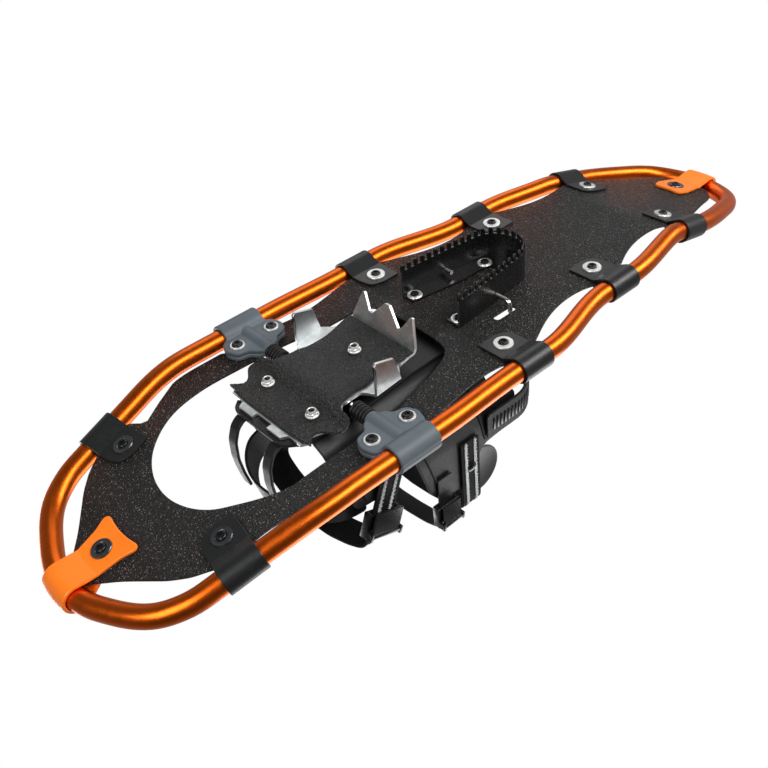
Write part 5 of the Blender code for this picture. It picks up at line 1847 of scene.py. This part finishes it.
@dataclass
class Binding:
    """The foot plate, the side panels, the straps and the buckles."""

    shop: Workshop
    plate: float = 3.0 * MM
    plate_z: float = 7.0 * MM
    panel: float = 3.0 * MM
    panel_x: float = 64.0 * MM
    webbing: float = 2.0 * MM
    lean: float = math.radians(21.8)
    panel_fold: Fold = field(init=False)

    def __post_init__(self) -> None:
        """Lays the panel's bend and the straps' distance from the middle."""
        base = (self.plate_z + self.plate / 2 + GAP + self.panel / 2) / MM
        edge = self.panel_x / MM
        points = [(25, base), (41, base), (51, 18), (58, 34), (62.5, 58), (edge, 76), (edge, 140)]
        stops = [base - 16, base, 18, 34, 58, 76, 140]
        self.base = base
        self.webbing_x = (self.panel_x + self.panel / 2 + GAP + self.webbing / 2 + 0.2 * MM) / MM
        self.panel_fold = Fold(scaled(points), [stop * MM for stop in stops], soften=4.0 * MM)

    def build_foot_plate(self) -> None:
        """The plate under the boot, with a row of grip ribs on top."""
        half = scaled([(30, 60, 12), (43, 44, 10), (43, -20, 0), (39, -60, 0), (37, -156, 18)])
        ring = rounded(half + [(-x, y, r) for x, y, r in reversed(half)])
        plate = sheet_blank([ring], self.plate, 0.6 * MM)
        plate.transform(Matrix.Translation((0.0, 0.0, self.plate_z)))
        self.shop.deliver("foot_plate_moulded", plate, Look.RUBBER, "binding", ["foot_plate"], crease=20.0)
        top = self.plate_z + self.plate / 2
        for name, wide, front, rear, step in (("ribs", 15, 6, -26, 5.0), ("heel_ribs", 20, -54, -148, 5.5)):
            rib = block((-0.8 * MM, -wide * MM, -0.5 * MM), (0.8 * MM, wide * MM, 0.9 * MM), 0.3 * MM)
            path = path_mesh([(0, front * MM, top), (0, rear * MM, top)], [(0, 0, 1)] * 2)
            self.shop.deliver_row(
                f"foot_plate_{name}", rib, path, step * MM, Look.RUBBER, "binding", "foot_plate"
            )

    def panel_outline(self) -> list[Point2]:
        """A side panel's blank: X is its height along the fold and Y runs to the nose."""
        flange = self.base - 6.5
        corners = [(flange, 38, 3), (self.base, 40, 6), (46, 36, 12), (74, 26, 8), (78, -12, 8), (56, -32, 12)]
        corners += [(112, -48, 12), (128, -60, 8), (128, -96, 10), (98, -108, 14), (95, -148, 8)]
        corners += [(62, -150, 8), (48, -124, 14), (20, -116, 10), (flange, -114, 3)]
        return rounded(scaled(corners))

    def on_panel(self, point: Vector) -> Vector:
        """Bends one point of a panel's blank up beside the foot."""
        place = self.panel_fold.place(point.x, point.z)
        return Vector((place.x, point.y, place.y))

    def panel_face(self, height: float, y: float, off: float) -> Vector:
        """A point on the outer face of the right panel, in millimetres."""
        return self.on_panel(Vector((height * MM, y * MM, -self.panel / 2 - off * MM)))

    def build_panels(self) -> None:
        """The two panels, each with raised ribs and domed rivets."""
        shape = sheet_blank([self.panel_outline()], self.panel, 0.9 * MM)
        score(shape, 0, self.panel_fold.stops[1:-1])
        bend(shape, self.on_panel)
        for side_name, panel in (("left", mirrored(shape)), ("right", shape)):
            node = f"harness_panel_{side_name}"
            self.shop.deliver(f"{node}_moulded", panel, Look.RUBBER, "binding", [node], crease=20.0)
        routes = (
            ((18.0, 22.0), (46.0, 24.0), (70.0, 16.0)),
            ((18.0, -26.0), (48.0, -40.0), (104.0, -55.0)),
            ((20.0, -98.0), (60.0, -104.0), (92.0, -112.0)),
            ((66.0, -126.0), (78.0, -128.0), (90.0, -126.0)),
        )
        for i, route in enumerate(routes):
            heights = [interpolate(route, t / 24) for t in range(25)]
            places = [self.panel_face(s, y, 0.1) for s, y in heights]
            for side_name, side in (("right", 1), ("left", -1)):
                path = path_mesh([(side * p.x, p.y, p.z) for p in places])
                name, slot = f"panel_ridge_{i + 1}_{side_name}", f"harness_panel_{side_name}"
                self.shop.deliver_bar(name, path, Look.RUBBER, 1.1 * MM, 12, "binding", slot=slot)
        rivets = []
        for height, y in ((73.0, -125.0), (46.0, -100.0), (30.0, 12.0), (30.0, -60.0)):
            place = self.panel_face(height, y, -0.2)
            out = (self.panel_face(height, y, 1.0) - place).normalized()
            rivets.append((place, out))
            rivets.append((Vector((-place.x, place.y, place.z)), Vector((-out.x, out.y, out.z))))
        self.shop.deliver_spots(
            "panel_rivets", rivet_shape(), rivets, Look.BUCKLE, "binding", slot="harness_panel_right"
        )

    def arch(self, half: Sequence[Point2], soften: float = 5.0 * MM) -> Fold:
        """The line of a strap over the foot, from its right end to its left end."""
        side = scaled(half)
        return Fold(side + [(-x, z) for x, z in reversed(side[:-1])], soften=soften)

    def build_arch(
        self,
        name: str,
        half: Sequence[Point2],
        width: float,
        centre: float,
        look: Look,
        lean: float = 0.0,
    ) -> Callable[[float, float, float], Vector]:
        """A strap over the foot.

        Args:
            name: Its node.
            half: The right half of its line, in millimetres.
            width: Its width in millimetres.
            centre: Where its middle lies along Y, in millimetres.
            look: Its finish.
            lean: How far it leans to the nose for its height.

        Returns:
            A rule that gives the point at a distance along the strap, across it and off it, in metres.
        """
        fold = self.arch(half)
        total = fold.stops[-1]
        thick = self.webbing - 0.2 * MM
        w = width * MM / 2
        ring = [(0.0, -w, 1 * MM), (total, -w, 1 * MM), (total, w, 1 * MM), (0.0, w, 1 * MM)]
        shape = sheet_blank([rounded(ring, 3)], thick, 0.5 * MM)
        score(shape, 0, every(2 * MM, total - 2 * MM, 4 * MM))
        score(shape, 0, fold.stops[1:-1])

        def on_strap(along: float, across: float, off: float) -> Vector:
            """The point of the bent strap for a point of the flat one."""
            place = fold.place(along, off)
            return Vector((place.x, across + centre * MM + lean * (place.y - 70 * MM), place.y))

        bend(shape, lambda p: on_strap(p.x, p.y, p.z))
        self.shop.deliver(f"{name}_woven", shape, look, "binding", [name], crease=20.0)
        return on_strap

    def build_stripes(
        self,
        name: str,
        rule: Callable[[float, float, float], Vector],
        half: Sequence[Point2],
        apart: float,
    ) -> None:
        """Two stripes of pale stitches woven along a strap's outer face.

        Args:
            name: The strap's node.
            rule: The strap's own rule, from build_arch.
            half: The right half of the strap's line, in millimetres.
            apart: The distance between the stripes, in millimetres.
        """
        total = self.arch(half).stops[-1]
        off = -self.webbing / 2 + 0.05 * MM
        for side_name, side in (("front", 1), ("rear", -1)):
            steps = every(1.5 * MM, total - 1.5 * MM, 1.2 * MM)
            places = [rule(s, side * apart * MM / 2 + 0.5 * MM * math.sin(s * 1900.0), off) for s in steps]
            outer = [rule(s, side * apart * MM / 2, off - 1 * MM) for s in steps]
            stripe, path = f"{name}_stripe_{side_name}", outward_path(places, outer)
            self.shop.deliver_row(stripe, stitch_shape(), path, 1.35 * MM, Look.THREAD, "binding", name, 60.0)

    def build_straps(self) -> None:
        """The straps over the forefoot, the instep and the ankle."""
        side = self.webbing_x
        forefoot = [(side, 50), (side, 113), (62, 117), (48, 122), (26, 127), (0, 129)]
        instep = [(side, 80), (side, 150), (62.5, 155), (48, 160), (24, 165), (0, 167)]
        rows = (("forefoot", forefoot, 25, -4, math.tan(self.lean), 12.0), ("instep", instep, 21, -92, 0.0, 10.5))
        for name, half, width, centre, lean, apart in rows:
            rule = self.build_arch(f"{name}_strap", half, width, centre, Look.WEBBING, lean)
            self.build_stripes(f"{name}_strap", rule, half, apart)
        ankle = [(side, 100), (side, 152), (62, 157), (48, 162), (24, 166), (0, 168)]
        rule = self.build_arch("ankle_strap", ankle, 16, -62, Look.RUBBER)
        total = self.arch(ankle).stops[-1]
        steps = every(66 * MM, total - 66 * MM, 2 * MM)
        places = [rule(s, 0.0, -self.webbing / 2 + 0.1 * MM) for s in steps]
        outer = [rule(s, 0.0, -self.webbing / 2 - 1 * MM) for s in steps]
        rung = block((-0.8 * MM, -5.0 * MM, -0.5 * MM), (0.8 * MM, 5.0 * MM, 0.8 * MM), 0.25 * MM)
        path = outward_path(places, outer)
        self.shop.deliver_row("ankle_strap_rungs", rung, path, 3.0 * MM, Look.BUCKLE, "binding", "ankle_strap")
        rivet = [(Vector((side * MM + 1.1 * MM, -92.5 * MM, 109 * MM)), Vector((1, 0, 0)))]
        self.shop.deliver_spots(
            "instep_strap_rivet", rivet_shape(), rivet, Look.BUCKLE, "binding", slot="instep_strap"
        )

    def ring(
        self, name: str, stations: Sequence[Sequence[float]], low: float, high: float, lean: float, step: float
    ) -> None:
        """A band round the toe or the heel, which may have a row of ladder rungs on its outer face.

        Args:
            name: Its node.
            stations: The right half of its plan.
            low: Its lower edge, in millimetres.
            high: Its upper edge, in millimetres.
            lean: How far it leans for its height.
            step: The distance between rungs, or 0 for none.
        """
        half = smooth_line(stations, 4.0)
        fold = Fold(half + [(-x, y) for x, y in reversed(half[:-1])])
        total = fold.stops[-1]
        low, high = low * MM, high * MM
        corners = [(0.0, low), (total, low), (total, high), (0.0, high)]
        thick = 2.4 * MM
        shape = sheet_blank([rounded([(x, y, 4 * MM) for x, y in corners])], thick, 0.8 * MM)
        score(shape, 0, fold.stops[1:-1])

        def around(along: float, height: float, off: float) -> Vector:
            """The point of the bent band for a point of the flat one."""
            place = fold.place(along, off)
            return Vector((place.x, place.y + lean * (height - low), height))

        bend(shape, lambda p: around(p.x, p.y, p.z))
        self.shop.deliver(f"{name}_band", shape, Look.RUBBER, "binding", [name], crease=20.0)
        if not step:
            return
        sign = 1.0 if fold.place(total / 2, MM).length > fold.place(total / 2, 0.0).length else -1.0
        steps = every(8 * MM, total - 8 * MM, 3 * MM)
        middle = (low + high) / 2
        skin = sign * (thick / 2 - 0.1 * MM)
        places = [around(s, middle, skin) for s in steps]
        outer = [around(s, middle, skin + sign * MM) for s in steps]
        rung = block((-1.1 * MM, -6.0 * MM, -0.4 * MM), (1.1 * MM, 6.0 * MM, 0.7 * MM), 0.3 * MM)
        self.shop.deliver_row(
            f"{name}_rungs", rung, outward_path(places, outer), step, Look.BUCKLE, "binding", name
        )

    def build_bands(self) -> None:
        """The toe band, its two links and the heel band."""
        inside = (self.panel_x - self.panel / 2 - GAP - 1.5 * MM) / MM
        toe = ((inside - 3.4, 18.0, 92.0), (50.0, 44.0, 128.0), (0.0, 68.0, 180.0))
        self.ring("toe_strap", toe, 62.0, 88.0, -0.25, 0.0)
        side = self.webbing_x + 0.4
        heel = ((side, -112.0, -90.0), (side, -150.0, -92.0), (40.0, -188.0, -148.0), (0.0, -196.0, -180.0))
        self.ring("heel_strap", heel, 66.0, 92.0, 0.0, 4.4 * MM)
        link = [(48.0, 10.0), (60.0, 10.0), (66.0, 15.0), (70.5, 26.0), (71.5, 42.0), (69.5, 58.0), (66.0, 74.0)]
        fold = Fold(scaled(link), soften=3.0 * MM)
        for side_name, side in (("right", 1), ("left", -1)):
            total, w = fold.stops[-1], 5 * MM
            ring = [(0.0, -w), (total, -w), (total, w), (0.0, w)]
            shape = sheet_blank([rounded([(x, y, 2 * MM) for x, y in ring], 4)], 2.4 * MM, 0.7 * MM)
            score(shape, 0, fold.stops[1:-1])

            def up_the_toe(point: Vector) -> Vector:
                """Bends one point of the link up round the toe."""
                place = fold.place(point.x, point.z)
                return Vector((point.y + side * 22 * MM, place.x, place.y))

            node = f"toe_link_{side_name}"
            self.shop.deliver(f"{node}_loop", bend(shape, up_the_toe), Look.RUBBER, "binding", [node], crease=20.0)

    def build_buckles(self) -> None:
        """The cam buckles and their levers, with their edges rounded."""
        for name in ("forefoot", "ankle"):
            buckle, lever = f"{name}_buckle", f"{name}_lever"
            for node, part, body, edge in ((buckle, "frame", "binding", 0.5), (lever, "cam", lever, 0.4)):
                shape = soften_edges(self.shop.node_shape(node), edge * MM)
                self.shop.deliver(f"{node}_{part}", shape, Look.BUCKLE, body, [node], crease=30.0)

    def build_tab(self) -> None:
        """The round grey pull tab, with a rim and a finger hollow."""
        back = self.panel_x - self.panel / 2 - GAP - 2.4 * MM
        disc = lathe(
            [(0.0, 0.0), (23.2, 0.0), (24.0, 0.6), (24.0, 1.8), (23.4, 2.4), (21.6, 2.4), (20.8, 1.9), (0.0, 1.9)], 72
        )
        turn = Matrix.Rotation(math.pi / 2, 4, "Y")
        disc.transform(Matrix.Translation((back, -106 * MM, 127 * MM)) @ turn)
        self.shop.deliver("pull_tab_disc", disc, Look.TAB, "binding", ["pull_tab"], crease=40.0)

    def build(self) -> None:
        """Everything of the binding above the crampon."""
        self.build_foot_plate()
        self.build_panels()
        self.build_straps()
        self.build_bands()
        self.build_buckles()
        self.build_tab()


def interpolate(route: Sequence[Point2], share: float) -> Point2:
    """A point on the smooth curve that three points shape.

    Args:
        route: The three points.
        share: The share of the way along.

    Returns:
        The point.
    """
    start, middle, end = (Vector(point) for point in route)
    point = start.lerp(middle, share).lerp(middle.lerp(end, share), share)
    return point.x, point.y


def rivet_shape() -> Shape:
    """A domed rivet with a thin skirt."""
    return lathe([(0.0, 2.3), (1.6, 2.2), (3.2, 1.6), (4.0, 0.7), (4.9, 0.5), (5.0, 0.0), (0.0, 0.0)], 28)


def stitch_shape() -> Shape:
    """One woven stitch: a short, slightly slanted lens."""
    shape = bmesh.new()
    bmesh.ops.create_icosphere(shape, subdivisions=1, radius=1.0)
    shape.transform(Matrix.Rotation(0.45, 4, "Z") @ Matrix.Diagonal((0.95 * MM, 2.0 * MM, 0.5 * MM, 1.0)))
    return shape


# ------------------------------------------------------------------ studio


@dataclass
class Studio:
    """A pale one-sided floor, soft lights and the camera under the snowshoe's nose."""

    eye: tuple[float, float, float] = (0.49270, 0.45036, -0.42666)
    ahead: tuple[float, float, float] = (-0.61836, -0.47336, 0.62734)
    above: tuple[float, float, float] = (-0.42405, -0.47110, -0.77346)
    lens: float = 45.48
    floor_half: float = 9.0

    def build_camera(self) -> None:
        """The camera that looks up at the underside."""
        camera = bpy.data.cameras.new("camera")
        camera.lens = self.lens
        camera.sensor_width = 36.0
        camera.clip_start, camera.clip_end = 0.01, 50.0
        thing = bpy.data.objects.new("camera", camera)
        ahead, above = Vector(self.ahead).normalized(), Vector(self.above)
        right = ahead.cross(above).normalized()
        above = right.cross(ahead)
        turn = Matrix((right, above, -ahead)).transposed().to_4x4()
        thing.matrix_world = Matrix.Translation(self.eye) @ turn
        bpy.context.scene.collection.objects.link(thing)
        bpy.context.scene.camera = thing

    def build_floor(self) -> None:
        """A floor that shows from above only, and that light passes."""
        shape = bmesh.new()
        bmesh.ops.create_grid(shape, x_segments=1, y_segments=1, size=self.floor_half)
        mesh = bpy.data.meshes.new("floor")
        shape.to_mesh(mesh)
        shape.free()
        floor = bpy.data.objects.new("floor", mesh)
        bpy.context.scene.collection.objects.link(floor)
        floor.visible_diffuse = floor.visible_glossy = floor.visible_transmission = False
        floor.visible_shadow = False
        material = bpy.data.materials.new("pale floor")
        material.use_nodes = True
        desk = Desk(material.node_tree)
        shader = desk.tree.nodes["Principled BSDF"]
        shader.inputs["Base Color"].default_value = (0.86, 0.86, 0.86, 1.0)
        shader.inputs["Roughness"].default_value = 0.9
        back = desk.add("ShaderNodeNewGeometry").outputs["Backfacing"]
        clear = desk.add("ShaderNodeBsdfTransparent").outputs[0]
        mixed = desk.add("ShaderNodeMixShader", {0: back, 1: shader.outputs[0], 2: clear})
        desk.tree.links.new(mixed.outputs[0], desk.tree.nodes["Material Output"].inputs[0])
        mesh.materials.append(material)

    def build_world(self) -> None:
        """White behind the object, and a darker room towards the camera for the metal to mirror."""
        world = bpy.data.worlds.new("studio")
        world.use_nodes = True
        bpy.context.scene.world = world
        desk = Desk(world.node_tree)
        back = desk.tree.nodes["Background"]
        place = desk.add("ShaderNodeTexCoord").outputs["Generated"]
        facing = desk.add("ShaderNodeVectorMath", {0: place, 1: self.ahead}, operation="DOT_PRODUCT")
        room = desk.remap(facing.outputs["Value"], (-0.5, 0.8), (0.07, 0.42))
        seen = desk.add("ShaderNodeLightPath").outputs["Is Camera Ray"]
        desk.tree.links.new(desk.mix(seen, room, (1.0, 1.0, 1.0)), back.inputs["Color"])

    def add_light(self, name: str, place: Sequence[float], size: Point2, power: float) -> None:
        """Adds one soft box that faces the middle, its height along Y.

        Args:
            name: The light's name.
            place: Where it stands.
            size: Its width and height.
            power: Its power in watts.
        """
        middle, place = Vector((0.0, -0.02, 0.06)), Vector(place)
        light = bpy.data.lights.new(name, "AREA")
        light.shape = "RECTANGLE"
        light.size, light.size_y = size
        light.energy = power
        back = (place - middle).normalized()
        side = Vector((0.0, 1.0, 0.0)).cross(back).normalized()
        thing = bpy.data.objects.new(name, light)
        thing.matrix_world = Matrix.Translation(place) @ Matrix((side, back.cross(side), back)).transposed().to_4x4()
        bpy.context.scene.collection.objects.link(thing)

    def build_lights(self) -> None:
        """A long soft box below for the tube's streak, soft boxes for the deck, and two above."""
        self.add_light("streak", (0.70, -0.50, -0.78), (0.42, 1.9), 22.0)
        self.add_light("sheen", (-0.95, -0.70, -0.90), (1.0, 1.2), 4.5)
        self.add_light("front", (0.25, 1.10, -0.75), (0.7, 0.7), 9.5)
        self.add_light("overhead", (0.5, -0.6, 1.6), (1.2, 1.2), 15.0)
        self.add_light("overhead_left", (-1.2, 0.5, 1.0), (0.9, 0.9), 9.0)

    def build(self) -> None:
        """Sets the stage."""
        self.build_floor()
        self.build_world()
        self.build_lights()
        self.build_camera()
        bpy.context.scene.view_settings.view_transform = "Standard"


def main() -> None:
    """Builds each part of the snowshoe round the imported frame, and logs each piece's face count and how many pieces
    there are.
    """
    logging.basicConfig(level=logging.INFO, format="%(message)s", stream=sys.stdout, force=True)
    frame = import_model()
    shop = Workshop(frame)
    tube = TubeFrame(shop)
    deck = DeckAndStraps(shop, tube)
    for maker in (tube, deck, PivotGroup(shop, tube, deck), ToeCrampon(shop), HeelGroup(shop, deck), Binding(shop)):
        LOG.info("building %s", type(maker).__name__)
        maker.build()
    Studio().build()
    LOG.info("%d pieces", shop.count)


if __name__ == "__main__":
    main()
